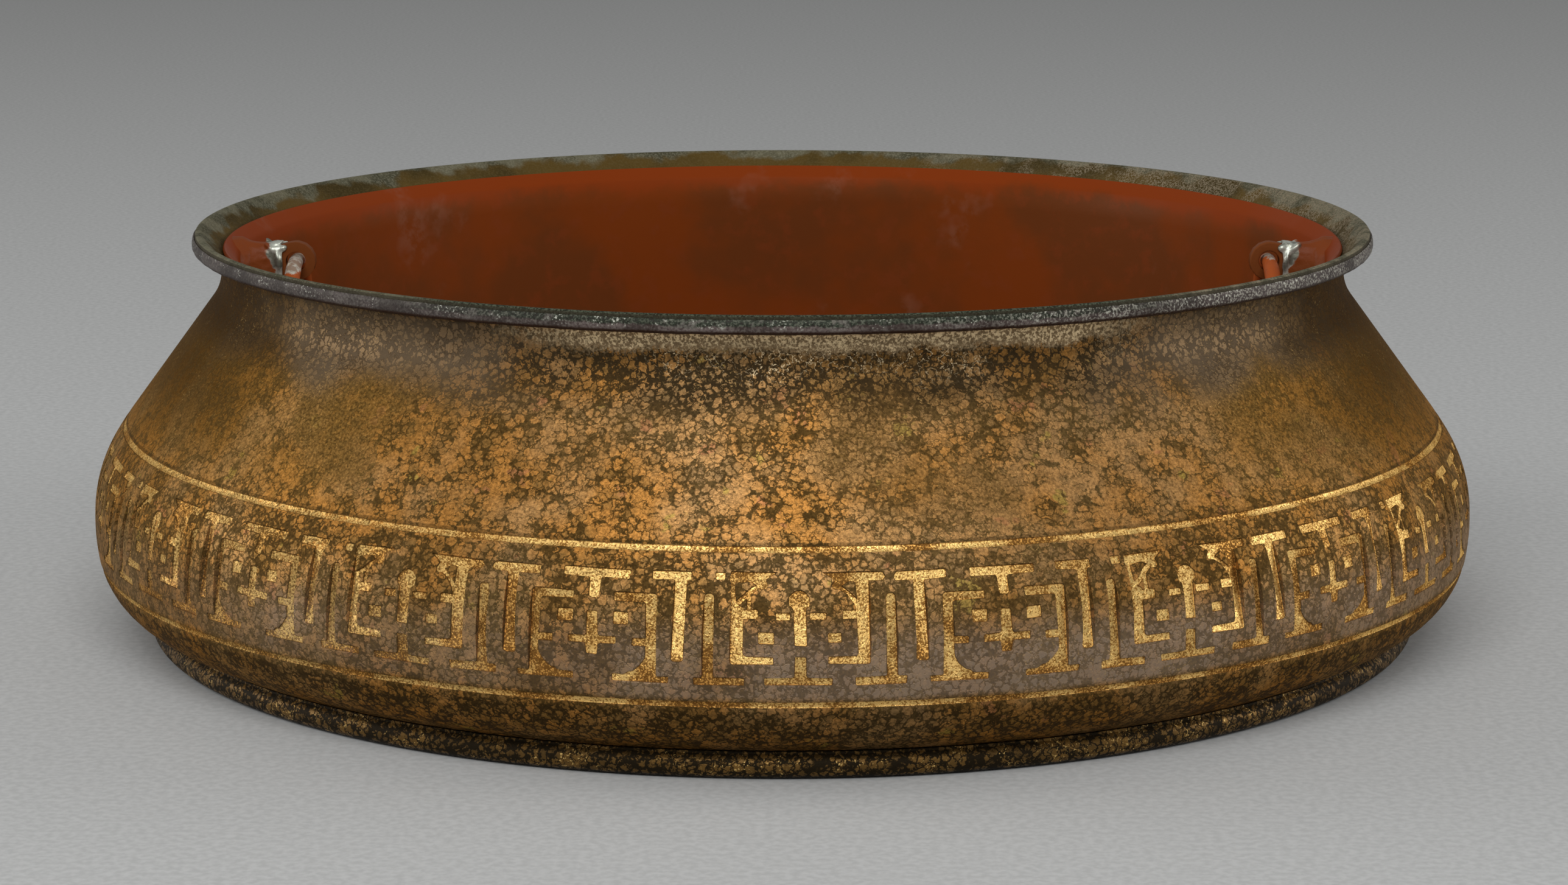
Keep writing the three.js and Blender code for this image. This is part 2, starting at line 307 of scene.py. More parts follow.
def smooth_by_angle(obj, degrees):
    """Smooth shading over every edge that bends less than the angle."""
    pick(obj)
    bpy.ops.object.shade_smooth_by_angle(angle=math.radians(degrees))


# %% [markdown]
# ## The bowl's profile
# The belly is widest low down. Above it a straight shoulder leans in to a hollow neck, and the
# neck turns out into the flared lip. The two gilded lines are shallow grooves with a wide floor.
# The band between them is left open here, because the fret is cut into it separately.

# %% Bowl profile
BELLY = [(128.70, 13.49), (129.09, 14.87), (129.34, 15.73), (129.50, 16.29), (129.89, 19.36),
         (130.00, 22.70), (129.84, 25.91), (129.38, 28.83), (128.64, 31.50), (127.63, 33.99),
         (126.40, 36.36), (124.94, 38.68), (124.34, 39.53), (123.82, 40.27)]
BAND_LOW, BAND_HIGH = 16.2, 39.0
belly_curve = np.array(curve_through(BELLY, 12))


def belly_radius(z):
    """The belly's radius at a height, or at each of many."""
    return np.interp(z, belly_curve[:, 1], belly_curve[:, 0])


def belly_normal(z):
    """The outward direction (in radius, in height) of the belly's surface."""
    z, near = np.asarray(z), 0.2
    slope = (belly_radius(z + near) - belly_radius(z - near)) / (2 * near)
    size = np.sqrt(1 + slope * slope)
    return 1 / size, -slope / size


LOWER_LINE, UPPER_LINE = 15.3, 39.88
LOWER_WIDTH, UPPER_WIDTH = 1.15, 1.25
GROOVE_SHAPE = [(-0.5, 0.0), (-0.4, 0.2), (-0.2, 0.25), (0.0, 0.26), (0.2, 0.25), (0.4, 0.2), (0.5, 0.0)]


def groove(height, width):
    """The points of a groove across the belly, from below to above, by share of width and depth."""
    out_r, out_z = belly_normal(height)
    radius = float(belly_radius(height))
    points = []
    for share, sink in GROOVE_SHAPE:
        along = share * width
        points.append((radius - out_z * along - out_r * sink, height + out_r * along - out_z * sink))
    return points


FOOT_SIDE = [(119.3, 5.1), (122.8, 6.77), (125.46, 8.72), (127.39, 10.97), (128.7, 13.49), (129.02, 14.6)]
UNDER = [(0, 5.1), (40, 5.1), (80, 5.1), (108, 5.1)] + curve_through(FOOT_SIDE, 2)
UNDER += groove(LOWER_LINE, LOWER_WIDTH)
UNDER += [(float(belly_radius(z)), z) for z in (15.95, BAND_LOW)]
BEAD_MIDDLE, BEAD_RADIUS, SEAT_RADIUS = (109.7, 73.45), 1.0, 1.3
NECK = [(107.42, 62.48), (106.55, 63.87), (105.92, 65.38), (105.53, 66.97), (105.4, 68.6), (105.4, 70.4)]
LIP = [(105.52, 71.15), (105.75, 71.79), (106.2, 72.3), (106.79, 72.62), (107.6, 72.82)]
LIP += arc_points(BEAD_MIDDLE, SEAT_RADIUS, 205, 96.6, 4)
LIP += [(110.05, 74.72), (110.2, 74.9), (110.2, 75.3), (110.05, 75.58), (109.8, 75.7), (109.4, 75.72),
        (109.05, 75.66), (108.6, 75.35), (108.15, 74.95), (107.2, 74.05), (106.2, 73.1), (105.3, 72.2),
        (104.4, 71.3), (103.75, 70.55), (103.6, 70.2)]
INSIDE = [(103.61, 68.46), (104.21, 64.81), (105.97, 61.41), (114.7, 49.5), (123.45, 37.68),
          (126.0, 33.24), (127.62, 28.45), (128.2, 22.69), (127.73, 16.65), (125.9, 11.98),
          (118.9, 6.9), (80, 6.9), (40, 6.9), (0, 6.9)]
UPPER = [(float(belly_radius(z)), z) for z in (BAND_HIGH, 39.08)] + groove(UPPER_LINE, UPPER_WIDTH)
UPPER += straight((123.3, 41.0), NECK[0], 10) + curve_through(NECK, 2)[1:] + LIP + INSIDE
print(len(UNDER), "points under the band and", len(UPPER), "above it")

# %% [markdown]
# ## The fret band
# The fret was cut or cast into the belly and gilded. It repeats twelve times, as two figures in
# turn: one with a pair of flags over a cross, one with brackets round a cross, and tall strokes
# between them. One repeat is drawn flat. Its strokes become raised blocks, the blocks are joined
# one by one into a single cutter with sloping sides, and the cutter is taken out of a thin plate.
# Drawing the strokes by their corners, as the chaser did, gives crisp ends that a texture can't.
# Across, a stroke is measured in degrees round the bowl, and upwards in millimetres above the
# table.

# %% Stroke shapes of the first figure (flags and cross)
def bar(x0, x1, z0, z1, lean=0.0):
    """A stroke's four corners; lean shifts its top sideways."""
    return [(x0, z0), (x1, z0), (x1 + lean, z1), (x0 + lean, z1)]


FLAG_RIGHT = [(1.62, 36.72), (2.52, 35.5), (2.3, 34.75), (2.42, 34.0), (2.95, 33.95), (3.15, 34.65),
              (3.6, 35.2), (4.02, 35.1), (4.08, 24.0), (3.98, 23.72), (1.95, 23.66), (1.9, 22.28),
              (4.95, 22.15), (5.1, 22.5), (5.04, 35.15), (6.0, 35.3), (6.28, 35.9), (6.05, 36.68)]
FLAG_LEFT = [(-1.5, 36.74), (-5.02, 36.7), (-5.12, 35.35), (-4.98, 34.9), (-4.98, 22.5),
             (-4.85, 22.12), (-1.85, 22.24), (-1.9, 23.62), (-3.9, 23.75), (-4.0, 24.1), (-4.0, 31.4),
             (-4.55, 32.1), (-4.62, 34.9), (-3.6, 35.2), (-3.1, 34.7), (-2.9, 34.05), (-2.35, 34.1),
             (-2.2, 34.8), (-2.4, 35.45)]
FIGURE_ONE = [
    FLAG_RIGHT,
    FLAG_LEFT,
    bar(-6.2, -5.38, 35.32, 36.66),
    bar(3.02, 4.3, 29.4, 31.0),
    bar(-4.3, -2.95, 29.45, 31.1),
    [(-0.5, 25.3), (0.48, 25.25), (0.5, 31.2), (0.8, 31.6), (0.82, 32.9), (0.42, 33.8),
     (-0.02, 34.05), (-0.46, 33.8), (-0.84, 32.9), (-0.82, 31.6), (-0.52, 31.2)],
    bar(0.66, 1.92, 29.42, 30.75),
    bar(-1.78, -0.68, 29.38, 30.7),
    bar(1.95, 2.98, 25.75, 27.5, -0.05),
    bar(-3.05, -1.86, 25.5, 27.6),
    [(-2.6, 18.74), (2.32, 18.7), (2.36, 20.05), (0.5, 20.12), (0.46, 23.62), (-0.48, 23.64),
     (-0.46, 20.16), (-2.62, 20.08)],
]
BRACKETS_ONE = [
    [(2.6, 34.7), (3.0, 34.8), (3.7, 33.6), (4.4, 32.0), (4.4, 30.6), (4.0, 30.7), (3.9, 31.6),
     (3.35, 33.3), (2.65, 34.2)],
    [(-4.75, 31.4), (-4.3, 31.7), (-3.75, 32.7), (-3.25, 33.7), (-2.85, 34.3), (-3.1, 35.0),
     (-3.6, 34.4), (-4.1, 33.2), (-4.8, 32.3)],
    bar(-3.85, -3.45, 30.6, 33.6),
]
print(len(FIGURE_ONE) + len(BRACKETS_ONE), "strokes in the first figure")

# %% Stroke shapes of the second figure (brackets and cross) and of the tall strokes
FIGURE_TWO = [
    [(-2.46, 35.25), (-0.44, 35.2), (-0.42, 32.5), (-0.2, 32.2), (0.22, 32.2), (0.43, 32.5),
     (0.45, 35.2), (2.62, 35.22), (2.66, 36.7), (-2.48, 36.72)],
    [(-1.52, 31.9), (-1.48, 33.2), (-4.4, 33.42), (-4.74, 33.1), (-4.74, 19.9), (-5.66, 19.98),
     (-5.64, 18.74), (-1.32, 18.74), (-1.32, 20.04), (-2.5, 20.1), (-2.75, 20.7), (-3.0, 20.72),
     (-3.6, 21.9), (-3.9, 23.1), (-3.92, 31.85)],
    [(1.55, 31.82), (3.9, 31.8), (3.94, 23.0), (3.55, 21.8), (3.0, 20.75), (2.7, 20.72), (2.4, 20.1),
     (1.5, 20.06), (1.48, 18.72), (5.62, 18.7), (5.66, 20.02), (4.78, 20.0), (4.76, 33.1),
     (4.5, 33.4), (1.5, 33.38)],
    bar(-2.62, -1.4, 28.25, 30.4),
    bar(1.52, 2.72, 28.2, 30.3),
    [(-0.43, 23.1), (0.42, 23.05), (0.5, 24.9), (1.82, 24.95), (1.86, 26.35), (0.46, 26.4),
     (0.44, 30.2), (-0.42, 30.25), (-0.46, 26.4), (-1.76, 26.35), (-1.74, 24.95), (-0.48, 24.95)],
]
BRACKETS_TWO = [bar(-4.3, -2.86, 24.85, 26.3), bar(2.94, 4.3, 24.8, 26.25)]
TALL = [
    [(3.95, 18.65), (7.72, 18.62), (7.74, 20.12), (7.06, 20.2), (6.92, 33.0), (6.75, 33.42),
     (6.3, 33.42), (6.1, 33.0), (6.2, 20.2), (3.92, 20.16)],
    [(-3.92, 18.65), (-3.9, 20.15), (-6.1, 20.2), (-6.12, 33.0), (-6.34, 33.42), (-6.74, 33.4),
     (-6.94, 33.0), (-7.0, 20.2), (-7.62, 20.12), (-7.62, 18.66)],
    [(6.95, 35.24), (8.2, 35.2), (8.32, 22.6), (8.5, 22.4), (9.1, 22.42), (9.3, 22.7), (9.12, 35.2),
     (10.78, 35.24), (10.8, 36.7), (7.1, 36.72), (6.86, 36.2), (6.86, 35.6)],
    [(22.13, 35.24), (22.13, 36.7), (19.24, 36.7), (19.22, 35.26), (20.9, 35.2), (20.82, 22.7),
     (21.0, 22.4), (21.6, 22.42), (21.78, 22.7), (21.82, 35.2)],
]
SECOND_CENTRE = 15.0
shifted = [[(x + SECOND_CENTRE, z) for x, z in stroke] for stroke in FIGURE_TWO + BRACKETS_TWO]
print(len(FIGURE_TWO) + len(BRACKETS_TWO), "strokes in the second figure and", len(TALL), "tall ones")

# %% Cutters for the strokes
DEGREE = 2.25
REPEAT_START, REPEAT = -7.75, 30.0
SINK = 0.26
EDGE_DEPTH, EDGE_SLOPE, WALL_SLOPE = 0.1, 0.09, 0.06
CORNER_ROUNDING = 0.26
TOP_CLEAR, BLOCK_HEIGHT = 0.02, 0.5


def raised_block(stroke):
    """A closed block with rounded corners on a stroke's outline, just above the plate's face."""
    block = draw_line("stroke", [(x * DEGREE, z, TOP_CLEAR) for x, z in stroke])
    edit(block)
    bpy.ops.mesh.edge_face_add()
    bpy.ops.mesh.bevel(affect="VERTICES", offset=CORNER_ROUNDING * MM, segments=2, clamp_overlap=True)
    bpy.ops.mesh.select_all(action="SELECT")
    bpy.ops.mesh.extrude_region_move(TRANSFORM_OT_translate={"value": (0, 0, BLOCK_HEIGHT * MM)})
    bpy.ops.mesh.select_all(action="SELECT")
    bpy.ops.mesh.normals_make_consistent(inside=False)
    bpy.ops.object.mode_set(mode="OBJECT")
    return block


def combine(obj, other, operation):
    """A boolean with another closed object, which is used up."""
    pick(obj)
    step = obj.modifiers.new("combine", "BOOLEAN")
    step.operation, step.solver, step.object = operation, "MANIFOLD", other
    bpy.ops.object.modifier_apply(modifier="combine")
    bpy.data.objects.remove(other)


strokes, *others = [raised_block(s) for s in FIGURE_ONE + BRACKETS_ONE + shifted + TALL]
for other in others:
    combine(strokes, other, "UNION")
edit(strokes)
bpy.ops.mesh.remove_doubles(threshold=0.04 * MM)
bpy.ops.mesh.select_all(action="SELECT")
bpy.ops.mesh.dissolve_limited(angle_limit=math.radians(1))
print("stroke undersides:", select_faces(strokes, lambda face: face.normal.z < -0.9))
bpy.ops.mesh.inset(thickness=EDGE_SLOPE * MM, depth=EDGE_DEPTH * MM)
bpy.ops.mesh.inset(thickness=WALL_SLOPE * MM, depth=(SINK + TOP_CLEAR - EDGE_DEPTH) * MM)
bpy.ops.object.mode_set(mode="OBJECT")

# %% [markdown]
# The plate is thicker than the cut is deep, so the cutter opens nothing at the back. The cut
# leaves spare points on straight edges, and they are dissolved. Only the plate's face is kept
# then, with the strokes sunk in it, and it is repeated along a row.

# %% Cut one repeat out of a plate
PLATE_THICK = 1.5

pick(None)
width, height = REPEAT * DEGREE, BAND_HIGH - BAND_LOW
centre = ((REPEAT_START + REPEAT / 2) * DEGREE * MM, (BAND_LOW + BAND_HIGH) / 2 * MM, 0)
bpy.ops.mesh.primitive_grid_add(x_subdivisions=30, y_subdivisions=16, size=MM, location=centre)
band = bpy.context.object
band.name = band.data.name = "fret_band"
edit(band)
bpy.ops.transform.resize(value=(width, height, 1))
bpy.ops.mesh.extrude_region_move(TRANSFORM_OT_translate={"value": (0, 0, -PLATE_THICK * MM)})
bpy.ops.mesh.select_all(action="SELECT")
bpy.ops.mesh.normals_make_consistent(inside=False)
bpy.ops.object.mode_set(mode="OBJECT")
bpy.ops.object.transform_apply(location=True, rotation=True, scale=True)
combine(band, strokes, "DIFFERENCE")
edit(band)
print("spare points on straight edges:", select_points(band, lambda v: len(v.link_edges) == 2))
bpy.ops.mesh.dissolve_verts()
bpy.ops.object.mode_set(mode="OBJECT")
print("plate with one repeat:", len(band.data.polygons), "faces")

# %% Keep the plate's face, repeat it twelve times
REPEATS = 12
edit(band)
low_x, high_x = REPEAT_START * DEGREE * MM, (REPEAT_START + REPEAT) * DEGREE * MM
near = 0.005 * MM


def on_side(face):
    """True for the plate's underside and its four narrow sides."""
    xs = [v.co.x for v in face.verts]
    ys = [v.co.y for v in face.verts]
    return (max(v.co.z for v in face.verts) < -0.9 * PLATE_THICK * MM
            or max(xs) < low_x + near or min(xs) > high_x - near
            or max(ys) < BAND_LOW * MM + near or min(ys) > BAND_HIGH * MM - near)


print("faces that are not the plate's face:", select_faces(band, on_side))
bpy.ops.mesh.delete(type="FACE")
bpy.ops.object.mode_set(mode="OBJECT")
pick(band)
row = band.modifiers.new("row", "ARRAY")
row.count = REPEATS
row.use_relative_offset = False
row.use_constant_offset = True
row.constant_offset_displace = (REPEAT * DEGREE * MM, 0, 0)
row.use_merge_vertices = True
row.merge_threshold = near
bpy.ops.object.modifier_apply(modifier="row")
print("whole band:", len(band.data.polygons), "faces")

# %% [markdown]
# The chaser's hand wanders a little, so no two repeats are quite alike. Noise moves the strokes
# by up to a tenth of a millimetre or two before the band is laid round the belly, and the band's
# two edges stay still so that they meet the rest of the bowl. The noise gets a seed, because it
# would otherwise start from the clock and stray in a new way each time. The depth of each vertex
# is kept as an attribute named "gilt", and the bronze finish reads it later to lay gold on the
# floors of the strokes and dirt on their walls.

# %% Lay the band round the belly
FRET_TURN = 1.24
STILL_EDGE = 2.0
FINE_WANDER, SLOW_WANDER = 0.17, 0.12
WANDER_SEED = 7


def hand_wander(turn, z):
    """How far the hand strays at a place: a fine wobble on top of a slow drift, in mm."""
    across, along = math.cos(turn), math.sin(turn)
    fine = noise.noise_vector((40 * across + 3.1, 40 * along, z * 0.33))
    slow = noise.noise_vector((9 * across, 9 * along - 5.2, z * 0.09))
    return fine * FINE_WANDER + slow * SLOW_WANDER


noise.seed_set(WANDER_SEED)
flat = np.empty(len(band.data.vertices) * 3)
band.data.vertices.foreach_get("co", flat)
x_flat, z_flat, lift = (flat.reshape(-1, 3) / MM).T
wander = np.array([hand_wander(a, z) for a, z in zip(np.radians(x_flat / DEGREE - REPEAT_START), z_flat)])
free = np.clip((z_flat - BAND_LOW) / STILL_EDGE, 0, 1) * np.clip((BAND_HIGH - z_flat) / STILL_EDGE, 0, 1)
angle = np.radians((x_flat + wander[:, 0] * free) / DEGREE + FRET_TURN)
up = z_flat + wander[:, 1] * free
out_r, out_z = belly_normal(up)
radius = belly_radius(up) + out_r * lift
laid = np.stack([radius * np.sin(angle), -radius * np.cos(angle), up + out_z * lift], 1) * MM
band.data.vertices.foreach_set("co", laid.ravel())
gilt = band.data.attributes.new("gilt", "FLOAT", "POINT")
gilt.data.foreach_set("value", np.clip(-lift / SINK, 0, 1).astype(np.float32))
band.data.update()
print("band radius from", round(float(radius.min()), 2), "to", round(float(radius.max()), 2), "mm")

# %% Turn the rest of the bowl and weld the band into it
TURN_STEPS = 360
OUTSIDE_RADIUS, GILT_FROM_DEPTH = 120.0, 0.2


def mark_grooves(obj):
    """Writes the gilt attribute: one on the floor of the two grooves and nought elsewhere."""
    values = []
    for v in obj.data.vertices:
        r, z = math.hypot(v.co.x, v.co.y) / MM, v.co.z / MM
        near_line = min(abs(z - LOWER_LINE), abs(z - UPPER_LINE)) < UPPER_WIDTH / 2
        sunk = float(belly_radius(z)) - r if near_line and r > OUTSIDE_RADIUS else 0.0
        values.append(min(1.0, max(0.0, sunk / GILT_FROM_DEPTH)))
    attribute = obj.data.attributes.new("gilt", "FLOAT", "POINT")
    attribute.data.foreach_set("value", values)


under = turned("bowl_under", UNDER, TURN_STEPS)
upper = turned("bowl_upper", UPPER, TURN_STEPS)
for part in (under, upper):
    part.rotation_euler.z = math.radians(FRET_TURN + REPEAT_START)
    pick(part)
    bpy.ops.object.transform_apply(rotation=True)
    mark_grooves(part)
pick(upper)
under.select_set(True)
band.select_set(True)
bpy.ops.object.join()
bowl = bpy.context.object
bowl.name = bowl.data.name = "bowl_skin"
edit(bowl)
bpy.ops.mesh.remove_doubles(threshold=0.02 * MM)
print("spare points after welding:", select_points(bowl, lambda v: len(v.link_edges) == 2))
bpy.ops.mesh.dissolve_verts()
bpy.ops.mesh.select_all(action="SELECT")
bpy.ops.mesh.normals_make_consistent(inside=False)
bpy.ops.mesh.select_all(action="DESELECT")
bpy.ops.mesh.select_non_manifold()
shape = bmesh.from_edit_mesh(bowl.data)
open_edges = sum(e.select for e in shape.edges)
bpy.ops.object.mode_set(mode="OBJECT")
print("bowl:", len(bowl.data.polygons), "faces,", open_edges, "open edges")

# %% [markdown]
# ## Lip bead and foot ring
# A round wire is soldered into the seat under the lip, and a heavier ring with a rounded outside
# carries the bowl. Both are turned like the bowl. Green crust has grown along the top of the wire
# and fills the corner under the lip, so it is part of the wire's section. The wire has lost its
# even roundness, so its surface is moved a little in and out by coarse and fine noise.

# %% Bead under the lip
CRUST = [(110.69, 73.95), (110.67, 74.3), (110.6, 74.62), (110.49, 74.88), (110.36, 75.02),
         (110.27, 74.98), (110.25, 74.82), (110.12, 74.66), (109.55, 74.66), (109.02, 74.46),
         (108.66, 74.04)]


def wear_in(obj, amount, size):
    """Moves each vertex in or out along its normal by noise; amount and size are in mm."""
    mesh = obj.data
    moves = [v.normal * noise.noise(v.co / (size * MM)) * amount * MM for v in mesh.vertices]
    for v, move in zip(mesh.vertices, moves):
        v.co += move


bead_section = arc_points(BEAD_MIDDLE, BEAD_RADIUS, 165, 372, 12) + CRUST
bead = turned("rim_bead_skin", bead_section + bead_section[:1], 540)
wear_in(bead, 0.08, 2.6)
wear_in(bead, 0.04, 0.9)
smooth_by_angle(bead, 60)

# %% Foot ring
FOOT_OUTSIDE = [(117.5, 0.0), (118.76, 0.3), (119.7, 1.13), (120.08, 2.27), (119.84, 3.45),
                (118.99, 4.37)]
FOOT = [(113.8, 0.0)] + curve_through(FOOT_OUTSIDE, 3)
FOOT += [(118.95, 4.78), (116.0, 4.8), (113.5, 4.8), (113.4, 4.7), (113.4, 2.5), (113.4, 0.4),
         (113.5, 0.1), (113.8, 0.0)]
foot = turned("foot_ring_skin", FOOT, 360)
smooth_by_angle(foot, 40)

# %% [markdown]
# ## The liner
# The liner is a spun pan of thin metal with a short flare at its edge, which rests on the slope
# inside the lip. It is lacquered red-orange, and the lacquer has darkened towards the bottom.
# Spun sheet is never quite true, so the wall gets long shallow waves.

# %% Liner
CORNER_MIDDLE = (92.91, 21.0)
WALL_FOOT, WALL_TOP, FLARE_SLOPE = (101.01, 21.03), (102.3, 70.47), 0.8
LINER = [(0, 12.0), (30, 12.0), (60, 12.0)] + arc_points(CORNER_MIDDLE, 9.0, -90, 0, 5)
LINER += straight((101.91, 21.0), (103.2, 70.41), 10)[1:]
LINER += [(103.45, 70.75), (105.0, 72.3), (105.08, 72.5), (105.0, 72.75), (104.75, 73.0),
          (104.5, 73.02), (104.3, 72.85), (102.85, 71.15)]
LINER += straight(WALL_TOP, WALL_FOOT, 10) + arc_points(CORNER_MIDDLE, 8.1, 0, -90, 5)[1:]
LINER += [(60, 12.9), (30, 12.9), (0, 12.9)]
LINER_WAVE = 0.3
liner = turned("liner_skin", LINER, 360)
for v in liner.data.vertices:
    z = v.co.z / MM
    on_wall = min(1.0, max(0.0, (z - 18) / 12)) * min(1.0, max(0.0, (69.5 - z) / 6))
    outward = Vector((v.co.x, v.co.y, 0)).normalized()
    wave = noise.noise(outward * 3 + Vector((0, 0, v.co.z * 25)))
    v.co += outward * wave * LINER_WAVE * MM * on_wall
smooth_by_angle(liner, 40)

# %% [markdown]
# ## Lugs, solder and rings
# Each handle is a ring of wire linked through the eye of a small upright lug. The lug's long root
# is soldered to the liner's wall. The solder was run on by hand from the wall almost to the eye,
# where it ends in lumps: a streak beside the eye, two horns over it with a web between them, and
# a lump that bridges the top of the lug. It starts from a copy of the solid. A voxel remesh turns
# it and the lumps into one skin, and the loose specks that this leaves are deleted. Near the wall
# the skin is spread and laid on to the wall's curve, and at last it is worn like the bead.

# %% Lugs
EYE_MIDDLE, EYE_RADIUS = (92.14, 68.2), 1.9
LUG_THICK = 2.6
LUG_RADIUS, LUG_ROUNDING = 3.7, 0.62
LUG = [(101.98, 69.8), (97.4, 70.83)] + arc_points(EYE_MIDDLE, LUG_RADIUS, 77.4, 89.1, 1)
LUG += arc_points(EYE_MIDDLE, LUG_RADIUS, 98.8, 270, 8)
LUG += [(94.25, 64.34), (96.27, 63.88), (98.19, 63.1), (100.01, 62.0), (101.74, 60.6)]


def make_lug(side, name):
    """An upright plate with an eye and well rounded edges; side is 1 at the right, -1 at the left."""
    lug = draw_line(name, [(side * x, -LUG_THICK / 2, z) for x, z in LUG])
    edit(lug)
    bpy.ops.mesh.edge_face_add()
    bpy.ops.mesh.extrude_region_move(TRANSFORM_OT_translate={"value": (0, LUG_THICK * MM, 0)})
    bpy.ops.mesh.select_all(action="SELECT")
    bpy.ops.mesh.normals_make_consistent(inside=False)
    pick(None)
    bpy.ops.mesh.primitive_cylinder_add(
        vertices=32, radius=EYE_RADIUS * MM, depth=8 * MM, rotation=(math.pi / 2, 0, 0),
        location=(side * EYE_MIDDLE[0] * MM, 0, EYE_MIDDLE[1] * MM))
    combine(lug, bpy.context.object, "DIFFERENCE")
    rounding = lug.modifiers.new("rounding", "BEVEL")
    rounding.width, rounding.segments, rounding.limit_method = LUG_ROUNDING * MM, 4, "ANGLE"
    rounding.angle_limit = math.radians(50)
    bpy.ops.object.modifier_apply(modifier="rounding")
    smooth_by_angle(lug, 50)
    return lug


lugs = [make_lug(1, "lug_skin_right"), make_lug(-1, "lug_skin_left")]
print("lugs:", [len(o.data.polygons) for o in lugs], "faces")


# %% Solder
LUMPS = {
    "streak beside the eye": ((95.4, 1.7, 68.3), (0.7, 0.8, 2.2), 6),
    "horn towards the middle": ((94.5, 1.4, 70.9), (0.75, 0.6, 1.0), -60),
    "horn towards the wall": ((96.9, 1.5, 70.9), (0.65, 0.65, 1.6), 48),
    "web between the horns": ((95.7, 1.5, 70.2), (1.1, 0.65, 0.9), 0),
    "bridge over the lug": ((95.9, 0.5, 71.3), (1.3, 1.2, 0.7), 8),
    "speck on the lug's side": ((98.1, 1.9, 68.7), (0.9, 0.45, 0.5), 20),
}
VOXEL = 0.15
SPREAD_FROM, SPREAD_OVER, SPREAD = 1.7, 0.9, 0.4
INTO_WALL = 0.25


def make_lumps(side, rng):
    """The lumps on both faces of one lug, by place, half size and lean, none quite alike."""
    made = []
    for (x, y, z), size, lean in LUMPS.values():
        for face in (1, -1):
            bpy.ops.mesh.primitive_uv_sphere_add(segments=20, ring_count=12, radius=MM)
            lump = bpy.context.object
            lump.scale = [r * rng.uniform(0.85, 1.15) for r in size]
            lump.rotation_euler = (0, side * math.radians(lean + rng.uniform(-8, 8)), 0)
            x_now, z_now = x + rng.uniform(-0.1, 0.1), z + rng.uniform(-0.2, 0.2)
            lump.location = (side * x_now * MM, face * y * MM, z_now * MM)
            bpy.ops.object.transform_apply(location=True, rotation=True, scale=True)
            made.append(lump)
    return made


def wall_radius(z):
    """The radius of the liner's inner wall at a height, with the slope of its flare at the top."""
    share = (z - WALL_FOOT[1]) / (WALL_TOP[1] - WALL_FOOT[1])
    return WALL_FOOT[0] + (WALL_TOP[0] - WALL_FOOT[0]) * share + FLARE_SLOPE * max(0.0, z - WALL_TOP[1])


def lay_on_wall(solder):
    """Spreads the solder towards the liner's wall, so that it ends a little way into it."""
    for v in solder.data.vertices:
        wall = wall_radius(v.co.z / MM) * MM
        reach = math.hypot(v.co.x, v.co.y)
        share = min(1.0, max(0.0, (reach - wall + SPREAD_FROM * MM) / (SPREAD_OVER * MM)))
        v.co.y *= 1 + SPREAD * share
        reach_now = reach + (wall + INTO_WALL * MM - reach) * share ** 2
        v.co.xy *= reach_now / math.hypot(v.co.x, v.co.y)


def make_solder(side, name, source, seed):
    """Solder with lumps at the eye, grown from a copy of the solid."""
    pick(None)
    solder = bpy.data.objects.new(name, frame["nodes"][source].data.copy())
    solder.data.name = name
    solder.data.materials.clear()
    bpy.context.scene.collection.objects.link(solder)
    edit(solder)
    bpy.ops.mesh.remove_doubles(threshold=0.01 * MM)
    pick(None)
    lumps = make_lumps(side, random.Random(seed))
    pick(solder)
    for lump in lumps:
        lump.select_set(True)
    bpy.ops.object.join()
    skin = solder.modifiers.new("one_skin", "REMESH")
    skin.mode, skin.voxel_size = "VOXEL", VOXEL * MM
    bpy.ops.object.modifier_apply(modifier="one_skin")
    top = max(v.co.z for v in solder.data.vertices)
    edit(solder)
    select_points(solder, lambda v: v.co.z == top)
    bpy.ops.mesh.select_linked()
    bpy.ops.mesh.select_all(action="INVERT")
    bpy.ops.mesh.delete(type="VERT")
    bpy.ops.object.mode_set(mode="OBJECT")
    soften = solder.modifiers.new("soften", "SMOOTH")
    soften.factor, soften.iterations = 0.5, 14
    bpy.ops.object.modifier_apply(modifier="soften")
    lay_on_wall(solder)
    wear_in(solder, 0.08, 1.1)
    smooth_by_angle(solder, 180)
    print(name, len(solder.data.polygons), "faces")
    return solder


solders = [make_solder(1, "solder_skin_right", "lug_solder_right", 11),
           make_solder(-1, "solder_skin_left", "lug_solder_left", 12)]

# %% Ring handles
RING_BIG, RING_WIRE = 15.0, 1.5
WORN_FROM, WORN_BY = 0.93, 0.09


def make_ring(name, source):
    """A wire ring that hangs in the eye, worn thinner where it rubs at the top."""
    low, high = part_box(source)
    middle = (low + high) / 2
    wire, big = RING_WIRE * MM, RING_BIG * MM
    pick(None)
    bpy.ops.mesh.primitive_torus_add(
        major_segments=96, minor_segments=20, major_radius=big, minor_radius=wire,
        location=middle, rotation=(0, math.pi / 2, 0))
    ring = bpy.context.object
    ring.name = ring.data.name = name
    bpy.ops.object.transform_apply(location=True, rotation=True, scale=True)
    for v in ring.data.vertices:
        spoke = Vector((0, v.co.y - middle.y, v.co.z - middle.z)).normalized()
        core = spoke * big + middle
        top = max(0.0, spoke.z - WORN_FROM) / (1 - WORN_FROM)
        v.co = core + (v.co - core) * (1 - WORN_BY * top)
    wear_in(ring, 0.05, 3.0)
    smooth_by_angle(ring, 180)
    print(name, "middle", [round(c / MM, 2) for c in middle], "wire", round(wire / MM, 2))
    return ring


rings = [make_ring("ring_skin_right", "ring_right"), make_ring("ring_skin_left", "ring_left")]
smooth_by_angle(bowl, 38)

